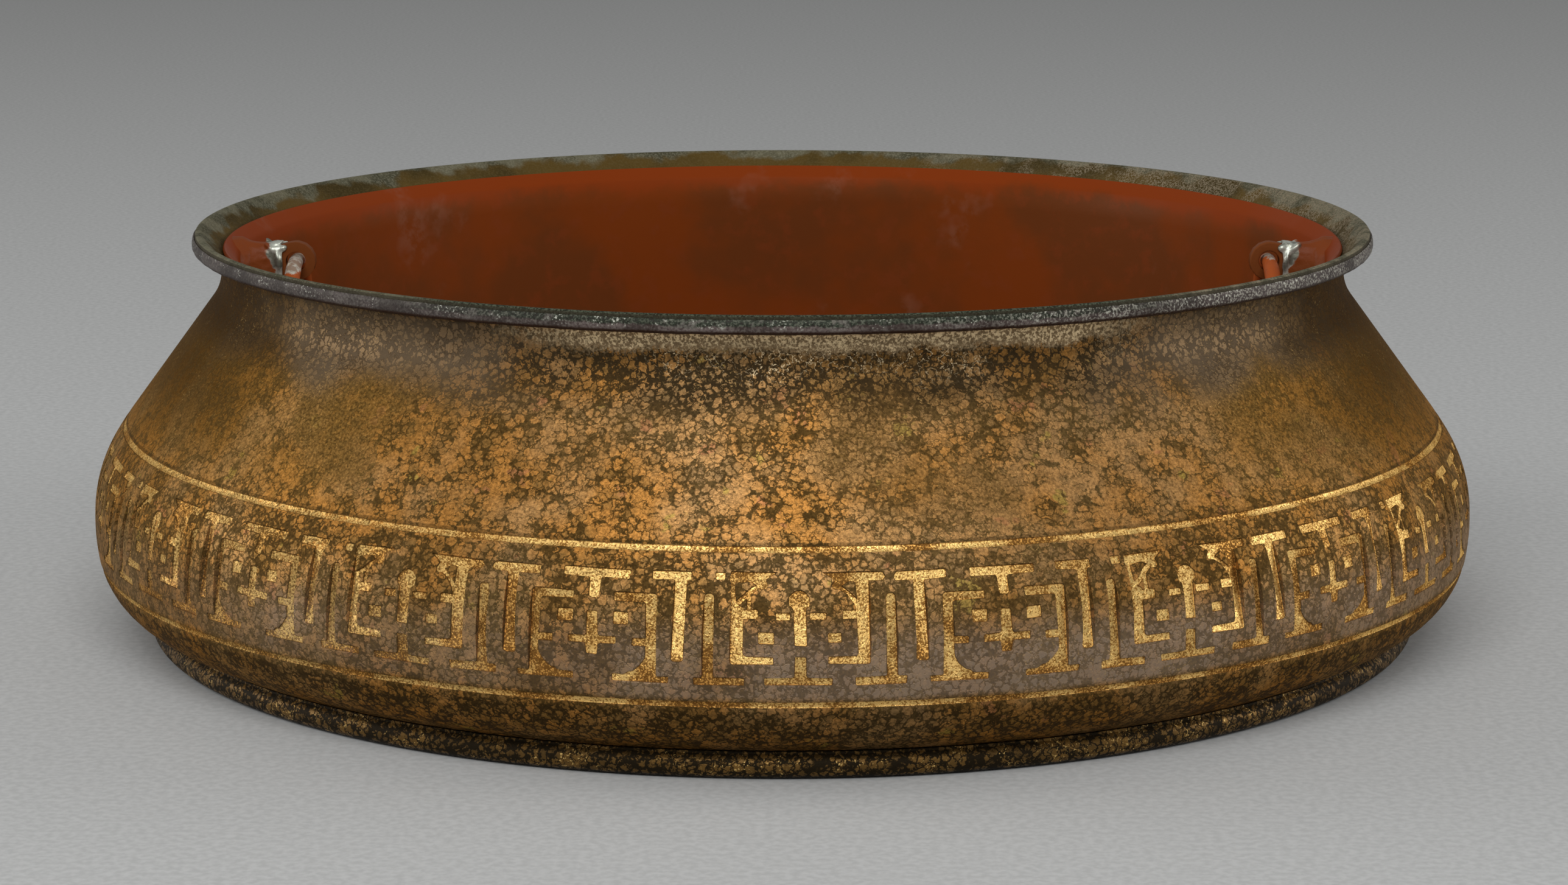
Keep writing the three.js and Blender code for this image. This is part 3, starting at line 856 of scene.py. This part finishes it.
# %% [markdown]
# ## Shared effects
# Patina on this bronze is not a flat tint. It grew as rounded flakes a millimetre or so across:
# where it is thick they have run together, and where it is thin dark metal shows between them.
# One node group makes the flakes from Voronoi cells. The gaps follow the cells' edges like lace,
# the corners are rounded off, and small holes are pricked in. A cloud of noise makes the lace
# wider or narrower, so that flakes merge or stand alone. A second group makes fine specks and
# slow clouds of tone. They only put out masks and heights, so each material can colour them in
# its own way.

# %% Helpers for masks and groups
def around(tree, value, strength, middle=0.5):
    """How far a noise value is from its middle, times a strength."""
    return math_node(tree, "MULTIPLY", math_node(tree, "SUBTRACT", value, middle), strength)


def add(tree, *values):
    total = values[0]
    for value in values[1:]:
        total = math_node(tree, "ADD", total, value)
    return total


def times(tree, *values):
    total = values[0]
    for value in values[1:]:
        total = math_node(tree, "MULTIPLY", total, value)
    return total


def larger(tree, a, b):
    return math_node(tree, "MAXIMUM", a, b)


def absolute(tree, value):
    return math_node(tree, "ABSOLUTE", value)


def rest_of(tree, mask):
    """What a mask leaves over: one minus it."""
    return math_node(tree, "SUBTRACT", 1.0, mask)


def new_group(name, inputs, outputs):
    """An empty shader node group with number sockets; returns it with its ends."""
    group = bpy.data.node_groups.new(name, "ShaderNodeTree")
    for label, value in inputs:
        socket = group.interface.new_socket(name=label, in_out="INPUT", socket_type="NodeSocketFloat")
        socket.default_value = value
    for label in outputs:
        group.interface.new_socket(name=label, in_out="OUTPUT", socket_type="NodeSocketFloat")
    return group, group.nodes.new("NodeGroupInput"), group.nodes.new("NodeGroupOutput")


# %% Group: flaky patina
flakes, start, end = new_group(
    "flaky_patina",
    [("Cell Scale", 800.0), ("Lace", 0.06), ("Cloud Scale", 230.0)],
    ["Gap", "Rim", "Tone", "Height"])
place = node(flakes, "TexCoord").outputs["Object"]
bend = node(flakes, "TexNoise", Vector=place, Scale=1500.0, Detail=2.0).outputs["Color"]
bend = node(flakes, "VectorMath", {"operation": "SUBTRACT"}, i0=bend, i1=(0.5, 0.5, 0.5)).outputs[0]
bend = node(flakes, "VectorMath", {"operation": "SCALE"}, i0=bend, Scale=0.0014).outputs[0]
bent = node(flakes, "VectorMath", {"operation": "ADD"}, i0=place, i1=bend).outputs[0]
cell_scale = start.outputs["Cell Scale"]
big = node(flakes, "TexVoronoi", Vector=bent, Scale=cell_scale)
small = node(flakes, "TexVoronoi", Vector=bent, Scale=times(flakes, cell_scale, 2.1))
edges = node(flakes, "TexVoronoi", {"feature": "DISTANCE_TO_EDGE"}, Vector=bent, Scale=cell_scale)
border = edges.outputs["Distance"]
cloud = noise_on(flakes, start.outputs["Cloud Scale"], 4.0, 0.6)
lace = add(flakes, start.outputs["Lace"], around(flakes, cloud, -0.5))
gap = ease(flakes, border, add(flakes, lace, 0.07), add(flakes, lace, -0.04))
corner_limit = add(flakes, 0.68, times(flakes, lace, -1.1))
corner = ease(flakes, big.outputs["Distance"], corner_limit, add(flakes, corner_limit, 0.16))
hole_limit = add(flakes, 0.76, times(flakes, lace, -1.3))
hole = ease(flakes, small.outputs["Distance"], hole_limit, add(flakes, hole_limit, 0.2), 0.0, 0.9)
gap = larger(flakes, larger(flakes, gap, corner), hole)
rim = ease(flakes, absolute(flakes, math_node(flakes, "SUBTRACT", border, lace)), 0.06, 0.02)
chance = node(flakes, "SeparateColor", i0=big.outputs["Color"]).outputs[0]
tone = add(flakes, 0.5, around(flakes, cloud, 1.9), around(flakes, chance, 0.55))
tone = math_node(flakes, "ADD", tone, 0.0, clamp=True)
for label, value in (("Gap", gap), ("Rim", rim), ("Tone", tone), ("Height", rest_of(flakes, gap))):
    flakes.links.new(value, end.inputs[label])
print("group", flakes.name, len(flakes.nodes), "nodes")

# %% Group: specks and clouds
specks, start, end = new_group(
    "specks_and_clouds",
    [("Speck Scale", 2600.0), ("Cloud Scale", 28.0)],
    ["Specks", "Pits", "Cloud", "Grain"])
grit = noise_on(specks, start.outputs["Speck Scale"], 2.0, 0.6)
where = noise_on(specks, 260.0, 2.0)
bright = times(specks, ease(specks, grit, 0.6, 0.68), ease(specks, where, 0.46, 0.62))
dark = ease(specks, grit, 0.44, 0.36)
cloud = noise_on(specks, start.outputs["Cloud Scale"], 4.0, 0.55)
for label, value in (("Specks", bright), ("Pits", dark), ("Cloud", cloud), ("Grain", grit)):
    specks.links.new(value, end.inputs[label])
print("group", specks.name, len(specks.nodes), "nodes")


# %% Helpers for a finish
def new_finish(name, specular=0.12, glance=(1.0, 1.0, 1.0)):
    """A material with its own Principled shader; returns it, its tree and the shader."""
    finish = bpy.data.materials.new(name)
    finish.use_nodes = True
    shader = finish.node_tree.nodes["Principled BSDF"]
    shader.inputs["Specular IOR Level"].default_value = specular
    shader.inputs["Specular Tint"].default_value = (*glance, 1.0)
    return finish, finish.node_tree, shader


def use_group(tree, group, **values):
    made = tree.nodes.new("ShaderNodeGroup")
    made.node_tree = group
    for label, value in values.items():
        set_input(tree, made.inputs[label.replace("_", " ")], value)
    return made.outputs


def place_on(tree):
    """The point's place on the object in mm, as three numbers."""
    at = node(tree, "SeparateXYZ", i0=node(tree, "TexCoord").outputs["Object"])
    return [math_node(tree, "DIVIDE", at.outputs[k], MM) for k in range(3)]


def from_axis(tree, x, y):
    """How far a point is from the bowl's axis."""
    return math_node(tree, "POWER", add(tree, times(tree, x, x), times(tree, y, y)), 0.5)


def lay_over(tree, skin, *coats):
    """Lays coats over a colour, one after another; each is a mask and what it shows."""
    for mask, colour in coats:
        skin = blend_colour(tree, mask, skin, colour)
    return skin


def feed(tree, shader, **values):
    """Links each value to the shader's input of that name."""
    for label, value in values.items():
        tree.links.new(value, shader.inputs[label.replace("_", " ")])


def relief(tree, shader, height, depth, strength=1.0):
    """Feeds a height in 0 to 1 to the shader's normal as bump of that depth in mm."""
    bump = node(tree, "Bump", Height=height, Distance=depth * MM, Strength=strength)
    tree.links.new(bump.outputs[0], shader.inputs["Normal"])


def put_on(finish, *pieces):
    """Gives each piece this finish alone."""
    for piece in pieces:
        piece.data.materials.clear()
        piece.data.materials.append(finish)
    print(finish.name, len(finish.node_tree.nodes), "nodes, on", [piece.name for piece in pieces])


# %% [markdown]
# ## Bronze finish
# Flakes from brown to tan lie on dark metal. In slow clouds, and towards the two sides, they melt
# into a smooth olive brown full of fine grain, and a coarser grain mottles all of it. The gaps
# between flakes are wide on the shoulder's top and between the strokes, and narrow in the middle
# of the shoulder. These are masks by height and by place round the bowl, bent by noise, so that
# no zone has a ruled edge.

# %% Bronze material: flakes and clouds
bronze, tree, shader = new_finish("patinated_bronze", glance=(0.7, 0.46, 0.22))
x, y, z = place_on(tree)
radius = from_axis(tree, x, y)
lace = add(tree, ease(tree, z, 60.0, 47.0, 0.08, 0.035), ease(tree, z, 40.5, 37.0, 0.0, 0.045))
patina = use_group(tree, flakes, Cell_Scale=670.0, Lace=lace, Cloud_Scale=240.0)
dust = use_group(tree, specks, Speck_Scale=2400.0, Cloud_Scale=22.0)
gap, cloud, grit = patina["Gap"], dust["Cloud"], dust["Grain"]
drift = noise_on(tree, 60.0, 3.0)
patches = noise_on(tree, 125.0, 3.0, 0.6)

dark_metal = two_tones(tree, drift, 0.4, 0.62, (0.085, 0.046, 0.012), (0.115, 0.07, 0.024))
brown_cell = two_tones(tree, drift, 0.4, 0.6, (0.24, 0.125, 0.034), (0.26, 0.155, 0.064))
tan_flake = two_tones(tree, drift, 0.42, 0.62, (0.44, 0.2, 0.046), (0.44, 0.238, 0.086))
shoulder_glow = ease(tree, z, 62.0, 46.0, 0.0, 0.25)
band_dimness = ease(tree, z, 41.0, 36.0, 0.0, -0.3)
tone = add(tree, patina["Tone"], shoulder_glow, band_dimness)
skin = lay_over(
    tree, two_tones(tree, tone, 0.2, 0.9, brown_cell, tan_flake),
    (ease(tree, patches, 0.66, 0.7, 0.0, 0.7), (0.36, 0.26, 0.055)),
    (ease(tree, patches, 0.345, 0.31, 0.0, 0.6), (0.42, 0.17, 0.075)),
    (gap, dark_metal))

melt_cloud = add(tree, cloud, around(tree, drift, 0.35))
melt = times(tree, ease(tree, melt_cloud, 0.52, 0.66, 0.0, 0.7), ease(tree, z, 40.5, 48.0, 0.25, 1.0))
side_distance = add(tree, absolute(tree, x), around(tree, cloud, 110.0))
side_zone = ease(tree, side_distance, 58.0, 100.0, 0.0, 0.5)
side_zone = times(tree, side_zone, ease(tree, z, 38.0, 46.0, 0.3, 1.0))
smooth_brown = two_tones(tree, grit, 0.3, 0.7, (0.1, 0.052, 0.013), (0.24, 0.13, 0.038))
smooth_olive = two_tones(tree, grit, 0.3, 0.7, (0.105, 0.055, 0.011), (0.24, 0.13, 0.028))
skin = lay_over(tree, skin, (melt, smooth_brown), (side_zone, smooth_olive))
grain = noise_on(tree, 1900.0, 3.0, 0.65)
mottle = two_tones(tree, grain, 0.33, 0.67, (0.66, 0.66, 0.66), (1.36, 1.36, 1.36))
skin = blend_colour(tree, 1.0, skin, mottle, "MULTIPLY")
print("colours of the flakes laid on")

# %% [markdown]
# Under the lip and below the lower line the metal is darkened as painted shade, and between the
# strokes a purple-grey painted sheen stands for the pale floor's reflection. On the neck, away from
# the front, the patina has raised blisters in two close tones with a thin dark outline here and
# there, and their pale tones are a painted sheen. The far left and right are darkest, as painted
# shade where the light falls off.

# %% Bronze material: zones
# Painted shade: the belly is darkened below the lower line, where it turns under, most in the gaps.
painted_shade_below = times(tree, ease(tree, z, 14.9, 13.4), ease(tree, gap, 0.0, 1.0, 0.2, 0.6))
# Painted sheen: a purple-grey reflection of the pale floor, laid between the strokes.
painted_floor_sheen = times(tree, ease(tree, z, 31.0, 22.0), ease(tree, z, 15.6, 17.0))
painted_floor_sheen = times(tree, painted_floor_sheen, ease(tree, cloud, 0.42, 0.58, 0.2, 0.65), ease(tree, gap, 0.0, 1.0, 1.0, 0.4))
neck_height = add(tree, z, around(tree, drift, 14.0))
# Painted shade: the neck is darkened under the lip's overhang, most in the gaps.
painted_shade_under_lip = times(tree, ease(tree, neck_height, 58.0, 65.0), ease(tree, radius, 103.0, 104.0))
painted_shade_under_lip = times(tree, painted_shade_under_lip, ease(tree, gap, 0.0, 1.0, 0.45, 0.9))
on_neck = ease(tree, z, 72.0, 71.0)
beside = add(tree, absolute(tree, x), around(tree, drift, 30.0), ease(tree, x, -10.0, 10.0, 0.0, -14.0))
# Painted sheen: pale blister tones on the neck's sides stand for the side lamps' reflections, over a real
# blister pattern.
painted_neck_sheen = times(tree, ease(tree, neck_height, 55.0, 63.0), on_neck, ease(tree, beside, 38.0, 52.0), 0.8)
blisters_with_painted_sheen = blend_colour(tree, gap, (0.19, 0.13, 0.075), (0.135, 0.096, 0.06))
outline = times(tree, patina["Rim"], ease(tree, patches, 0.42, 0.58, 0.0, 0.7))
blisters_with_painted_sheen = blend_colour(tree, outline, blisters_with_painted_sheen, (0.06, 0.038, 0.02))
# Painted shade: the far left and right, belly and neck, are darkened where the light falls off.
painted_shade_far_side = absolute(tree, add(tree, x, around(tree, drift, 12.0)))
painted_shade_far_side = times(tree, ease(tree, painted_shade_far_side, 78.0, 112.0), ease(tree, z, 36.0, 56.0), 0.85)
painted_shade_far_neck = absolute(tree, add(tree, x, around(tree, drift, 14.0)))
painted_shade_far_neck = times(tree, ease(tree, painted_shade_far_neck, 84.0, 94.0), ease(tree, z, 56.0, 64.0), on_neck, 0.7)
skin = lay_over(
    tree, skin,
    (ease(tree, z, 40.5, 37.0, 0.0, 0.14), (0.02, 0.012, 0.006)),
    (painted_shade_below, (0.014, 0.009, 0.004)),
    (painted_floor_sheen, (0.35, 0.27, 0.205)),
    (painted_shade_under_lip, (0.03, 0.02, 0.01)),
    (painted_neck_sheen, blisters_with_painted_sheen),
    (painted_shade_far_side, (0.058, 0.03, 0.006)),
    (painted_shade_far_neck, (0.025, 0.014, 0.005)))
print("zones laid on")

# %% [markdown]
# The gold lies on the floors of the strokes and lines, where the gilt attribute is high, and the
# walls between are darkened as painted shade. It is pitted all over, rubbed brown in places, and
# half worn off on the left, where the dulling also stands for painted shade. Under the lip's front
# it is only a fine net and a belt of crumbs. Bright specks of bare metal lie over all, painted as
# glints.

# %% Bronze material: gold
gilt_depth = node(tree, "Attribute", {"attribute_name": "gilt", "attribute_type": "GEOMETRY"}).outputs["Fac"]
pits = noise_on(tree, 2900.0, 2.0, 0.6)
rubbed = noise_on(tree, 95.0, 3.0, 0.6)
# Painted shade: the walls of the strokes and lines are darkened between the gilt floor and the surface.
wall = times(tree, ease(tree, gilt_depth, 0.02, 0.2), ease(tree, gilt_depth, 0.98, 0.8), 0.5)
low_rub = times(tree, ease(tree, z, 30.0, 17.0, 0.0, 0.05), ease(tree, z, 15.9, 16.5))
rub = add(tree, rubbed, low_rub)
pit_limit = ease(tree, rub, 0.4, 0.68, 0.42, 0.54)
whole = ease(tree, pits, pit_limit, add(tree, pit_limit, 0.035))
gold = two_tones(tree, rub, 0.45, 0.66, (0.88, 0.58, 0.2), (0.68, 0.35, 0.085))
pit_colour = two_tones(tree, rub, 0.45, 0.65, (0.34, 0.17, 0.04), (0.2, 0.09, 0.02))
# Worn gold on the left, which also stands for painted shade: the left side's gold is dulled as if less lit.
left_part = ease(tree, add(tree, x, around(tree, rubbed, 130.0)), -25.0, -75.0)
worn_off_and_shaded_left = times(tree, left_part, ease(tree, pits, 0.6, 0.46, 0.25, 0.65))
gilt_floor = times(tree, ease(tree, gilt_depth, 0.4, 0.85), rest_of(tree, worn_off_and_shaded_left))

front = ease(tree, beside, 52.0, 30.0)
curl = noise_on(tree, 620.0, 3.0, 0.55)
net = ease(tree, absolute(tree, around(tree, curl, 1.0)), 0.02, 0.006)
net = times(tree, net, ease(tree, pits, 0.42, 0.52), ease(tree, neck_height, 64.5, 68.0))
net = times(tree, net, ease(tree, cloud, 0.44, 0.52), 0.7)
belt_height = add(tree, z, around(tree, rubbed, 5.0), around(tree, grit, 3.0))
belt = times(tree, ease(tree, belt_height, 68.0, 69.6), front, 0.9)
crumbs = times(tree, ease(tree, grain, 0.47, 0.56), ease(tree, belt_height, 68.6, 70.4))
net = times(tree, larger(tree, net, crumbs), front)
net = times(tree, net, ease(tree, radius, 104.8, 105.2), ease(tree, z, 72.0, 71.7))
# Specks of bare metal, painted bright as glints.
specks_and_glints = times(tree, dust["Specks"], ease(tree, drift, 0.4, 0.6, 0.1, 0.45))
skin = lay_over(
    tree, skin,
    (wall, (0.04, 0.024, 0.008)),
    (gilt_floor, blend_colour(tree, whole, pit_colour, gold)),
    (belt, (0.3, 0.21, 0.115)),
    (net, (0.9, 0.7, 0.42)),
    (specks_and_glints, (0.6, 0.38, 0.14)))
gilding = larger(tree, times(tree, gilt_floor, whole), times(tree, net, 0.3))
print("gold laid on")

# %% Bronze material: the lip
lip = times(tree, ease(tree, z, 71.7, 72.2), ease(tree, radius, 103.3, 103.7))
verdigris = two_tones(tree, patches, 0.4, 0.62, (0.06, 0.062, 0.04), (0.14, 0.135, 0.09))
verdigris = blend_colour(tree, ease(tree, grit, 0.45, 0.62, 0.0, 0.4), verdigris, (0.27, 0.26, 0.19))
spread = add(tree, radius, around(tree, drift, 4.0), around(tree, rubbed, 9.0))
spread = add(tree, spread, ease(tree, side_distance, 60.0, 100.0, 0.0, 1.2))
powder = times(tree, ease(tree, x, 10.0, 75.0), ease(tree, pits, 0.47, 0.56))
powder = times(tree, powder, ease(tree, patches, 0.42, 0.52, 0.1, 0.7))
near_front = times(tree, ease(tree, y, -85.0, -97.0), ease(tree, radius, 108.4, 108.7))
front_crust = two_tones(tree, pits, 0.45, 0.56, (0.02, 0.024, 0.016), (0.085, 0.1, 0.068))
outer = times(tree, ease(tree, radius, 109.6, 110.0), ease(tree, z, 75.6, 75.45), 0.8)
seat = times(tree, ease(tree, radius, 108.2, 108.35), ease(tree, z, 74.95, 74.8))
slope = lay_over(
    tree, two_tones(tree, drift, 0.38, 0.6, (0.045, 0.032, 0.01), (0.095, 0.06, 0.016)),
    (ease(tree, grit, 0.46, 0.62, 0.0, 0.3), (0.13, 0.095, 0.04)),
    (ease(tree, spread, 107.8, 109.2, 0.0, 0.85), verdigris),
    (powder, (0.27, 0.22, 0.15)),
    (near_front, front_crust),
    (outer, (0.03, 0.025, 0.017)),
    (seat, (0.02, 0.016, 0.01)))
skin = blend_colour(tree, lip, skin, slope)
print("lip laid on")

# %% Bronze material: shine and relief
rough = add(tree, ease(tree, gap, 0.0, 1.0, 0.5, 0.65), times(tree, gilding, -0.12), times(tree, lip, 0.1))
metal = times(tree, ease(tree, gap, 0.0, 1.0, 0.75, 0.5), ease(tree, lip, 0.0, 1.0, 1.0, 0.25))
metal = larger(tree, metal, times(tree, gilding, rest_of(tree, lip), 0.85))
feed(tree, shader, Base_Color=skin, Roughness=rough, Metallic=metal)
lift = add(tree, times(tree, patina["Height"], 0.8), times(tree, grit, 0.9))
lift = add(tree, lift, times(tree, pits, gilt_floor, 0.8))
relief(tree, shader, lift, 0.09, 0.6)
put_on(bronze, bowl)

# %% [markdown]
# ## Bead and foot finishes
# The bead is dark purple-grey. At the front the green crust from the groove has spread over its
# top, on the right it carries pale granules, and its underside is darkened to red-brown as painted
# shade. The foot is the most worn piece: dark, with flakes far apart and bright specks of bare
# metal, and darkest at its bottom edge as painted shade where it meets the floor.

# %% Bead material
bead_finish, tree, shader = new_finish("verdigris_bead")
x, _, z = place_on(tree)
dust = use_group(tree, specks, Speck_Scale=2300.0, Cloud_Scale=120.0)
cloud, grit = dust["Cloud"], dust["Grain"]
patches = noise_on(tree, 330.0, 3.0, 0.6)
side = absolute(tree, add(tree, x, around(tree, cloud, 30.0)))
crust_height = add(tree, z, around(tree, patches, 1.6), around(tree, cloud, 1.0))
crust = times(tree, ease(tree, crust_height, 73.75, 74.2), ease(tree, side, 75.0, 45.0, 0.12, 1.0))
granules = times(tree, ease(tree, grit, 0.5, 0.58), ease(tree, x, 15.0, 65.0, 0.15, 0.7))
granules = times(tree, granules, ease(tree, cloud, 0.36, 0.5, 0.3, 1.0))
tint = lay_over(
    tree, two_tones(tree, cloud, 0.4, 0.62, (0.058, 0.042, 0.037), (0.122, 0.093, 0.086)),
    (crust, two_tones(tree, grit, 0.35, 0.65, (0.014, 0.018, 0.012), (0.055, 0.064, 0.043))),
    (ease(tree, patches, 0.55, 0.66, 0.0, 0.5), (0.17, 0.145, 0.13)),
    (times(tree, dust["Pits"], 0.6), (0.03, 0.022, 0.018)),
    (ease(tree, x, -20.0, -60.0, 0.0, 0.45), (0.04, 0.036, 0.032)),
    (ease(tree, x, 30.0, 70.0, 0.0, 0.4), (0.03, 0.025, 0.021)),
    (granules, (0.36, 0.34, 0.285)),
    # Painted shade: the bead's underside is darkened to red-brown.
    (ease(tree, z, 73.25, 72.85, 0.0, 0.85), (0.03, 0.012, 0.006)),
    (times(tree, dust["Specks"], ease(tree, z, 73.2, 73.8), 0.8), (0.6, 0.6, 0.52)))
feed(tree, shader, Base_Color=tint, Roughness=ease(tree, grit, 0.3, 0.7, 0.4, 0.66))
shader.inputs["Metallic"].default_value = 0.25
relief(tree, shader, grit, 0.14, 0.8)
put_on(bead_finish, bead)

# %% Foot material
foot_finish, tree, shader = new_finish("worn_foot_bronze")
z = place_on(tree)[2]
patina = use_group(tree, flakes, Cell_Scale=700.0, Lace=0.1, Cloud_Scale=260.0)
dust = use_group(tree, specks, Speck_Scale=2200.0, Cloud_Scale=60.0)
tint = lay_over(
    tree, blend_colour(tree, patina["Tone"], (0.08, 0.046, 0.015), (0.2, 0.108, 0.028)),
    (patina["Gap"], (0.018, 0.012, 0.005)),
    (times(tree, dust["Specks"], 0.9), (0.8, 0.53, 0.18)),
    # Painted shade: the foot darkens at its bottom edge, where it meets the floor.
    (ease(tree, z, 1.0, 0.2), (0.012, 0.009, 0.005)))
feed(tree, shader, Base_Color=tint, Roughness=ease(tree, patina["Gap"], 0.0, 1.0, 0.4, 0.62))
shader.inputs["Metallic"].default_value = 0.5
relief(tree, shader, add(tree, patina["Height"], dust["Grain"]), 0.1, 0.6)
put_on(foot_finish, foot)

# %% [markdown]
# ## Lacquer, wire and solder
# The lacquer is fresh in a narrow band at the top of the liner and stained dark brown below an
# uneven edge, with a pale haze on the wall in places that is dust and also a painted sheen. The
# rings carry the same lacquer, rubbed to bright metal where they hang in the eyes. The solder is
# bare beside the eye, and lacquered over with the liner from there to the wall.

# %% Lacquer material
FRESH_RED, STAINED_RED, DARK_STAIN = (0.205, 0.034, 0.005), (0.17, 0.034, 0.005), (0.125, 0.033, 0.008)
LUG_RED = (0.15, 0.042, 0.011)


def lacquer_colour(tree, z, cloud, fine):
    """Red-orange above an uneven edge and stained brown below it."""
    edge_height = add(tree, z, around(tree, cloud, 9.0), around(tree, fine, 4.0))
    stained = two_tones(tree, cloud, 0.4, 0.62, DARK_STAIN, STAINED_RED)
    stained = blend_colour(tree, ease(tree, fine, 0.5, 0.68, 0.0, 0.55), stained, (0.17, 0.036, 0.009))
    return two_tones(tree, edge_height, 67.4, 70.8, stained, FRESH_RED)


lacquer, tree, shader = new_finish("red_lacquer", 0.08, (0.9, 0.5, 0.32))
x, y, z = place_on(tree)
dust = use_group(tree, specks, Speck_Scale=1300.0, Cloud_Scale=36.0)
fine = noise_on(tree, 210.0, 5.0, 0.65)
on_lug = times(tree, ease(tree, from_axis(tree, x, y), 100.4, 97.0), ease(tree, z, 50.0, 55.0))
# A pale haze on the wall in places: dust, and a painted sheen of the lamps.
dust_haze_and_sheen = ease(tree, noise_on(tree, 48.0, 4.0, 0.6), 0.6, 0.7, 0.0, 0.25)
dust_haze_and_sheen = times(tree, dust_haze_and_sheen, ease(tree, fine, 0.4, 0.55))
tint = lay_over(
    tree, lacquer_colour(tree, z, dust["Cloud"], fine),
    (on_lug, LUG_RED),
    (dust_haze_and_sheen, (0.24, 0.11, 0.07)))
feed(tree, shader, Base_Color=tint, Roughness=ease(tree, dust["Cloud"], 0.35, 0.65, 0.38, 0.55))
relief(tree, shader, add(tree, fine, times(tree, dust["Grain"], 0.25)), 0.1, 0.45)
put_on(lacquer, liner, *lugs)

# %% Ring material
ring_finish, tree, shader = new_finish("worn_ring_lacquer", 0.12, (0.95, 0.65, 0.5))
x, _, z = place_on(tree)
dust = use_group(tree, specks, Speck_Scale=1500.0, Cloud_Scale=160.0)
fine = noise_on(tree, 700.0, 3.0, 0.6)
more_on_left = ease(tree, x, 10.0, -10.0, 0.0, 1.9)
rub_height = add(tree, z, around(tree, dust["Cloud"], 3.0), around(tree, fine, 2.0), more_on_left)
rub = ease(tree, rub_height, 69.0, 69.5)
tint = lay_over(
    tree, blend_colour(tree, dust["Cloud"], (0.25, 0.05, 0.011), (0.4, 0.09, 0.02)),
    (ease(tree, fine, 0.56, 0.7, 0.0, 0.5), (0.2, 0.05, 0.016)),
    (rub, two_tones(tree, fine, 0.4, 0.6, (0.42, 0.3, 0.22), (0.74, 0.7, 0.6))))
rough = ease(tree, rub, 0.0, 1.0, 0.45, 0.35)
feed(tree, shader, Base_Color=tint, Metallic=times(tree, rub, 0.6), Roughness=rough)
relief(tree, shader, add(tree, dust["Grain"], fine), 0.06, 0.5)
put_on(ring_finish, *rings)

# %% Solder material
solder_finish, tree, shader = new_finish("grey_solder")
x, _, z = place_on(tree)
dust = use_group(tree, specks, Speck_Scale=1700.0, Cloud_Scale=420.0)
lacquer_cloud = use_group(tree, specks, Speck_Scale=1300.0, Cloud_Scale=36.0)["Cloud"]
reach = add(tree, absolute(tree, x), around(tree, dust["Cloud"], 4.0), ease(tree, z, 70.6, 66.0, 0.0, 1.6))
bare = times(tree, ease(tree, reach, 97.8, 97.2), ease(tree, z, 64.6, 65.8))
tint = lay_over(
    tree, lacquer_colour(tree, z, lacquer_cloud, noise_on(tree, 210.0, 5.0, 0.65)),
    (0.6, LUG_RED),
    (bare, two_tones(tree, dust["Cloud"], 0.4, 0.56, (0.16, 0.16, 0.125), (0.5, 0.52, 0.45))))
rough = ease(tree, bare, 0.0, 1.0, 0.45, 0.36)
feed(tree, shader, Base_Color=tint, Metallic=times(tree, bare, 0.55), Roughness=rough)
relief(tree, shader, dust["Grain"], 0.1, 0.5)
put_on(solder_finish, *solders)

# %% [markdown]
# ## Hand each piece to its body
# Each piece moves with a body of the model, stands for the solid that it replaces, and names the
# slot of the record that its finish belongs to.

# %% Bodies, replaced solids and slots
for piece, body, solid, slot in (
    (bowl, "bowl", "bowl", "bronze"),
    (bead, "bowl", "rim_bead", "bead_bronze"),
    (foot, "bowl", "foot_ring", "foot_bronze"),
    (liner, "liner", "liner", "liner_lacquer"),
    (lugs[0], "liner", "lug_right", "liner_lacquer"),
    (lugs[1], "liner", "lug_left", "liner_lacquer"),
    (solders[0], "liner", "lug_solder_right", "solder"),
    (solders[1], "liner", "lug_solder_left", "solder"),
    (rings[0], "ring_right", "ring_right", "ring_lacquer"),
    (rings[1], "ring_left", "ring_left", "ring_lacquer"),
):
    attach(piece, body)
    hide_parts(solid)
    print(piece.name, "on", body)
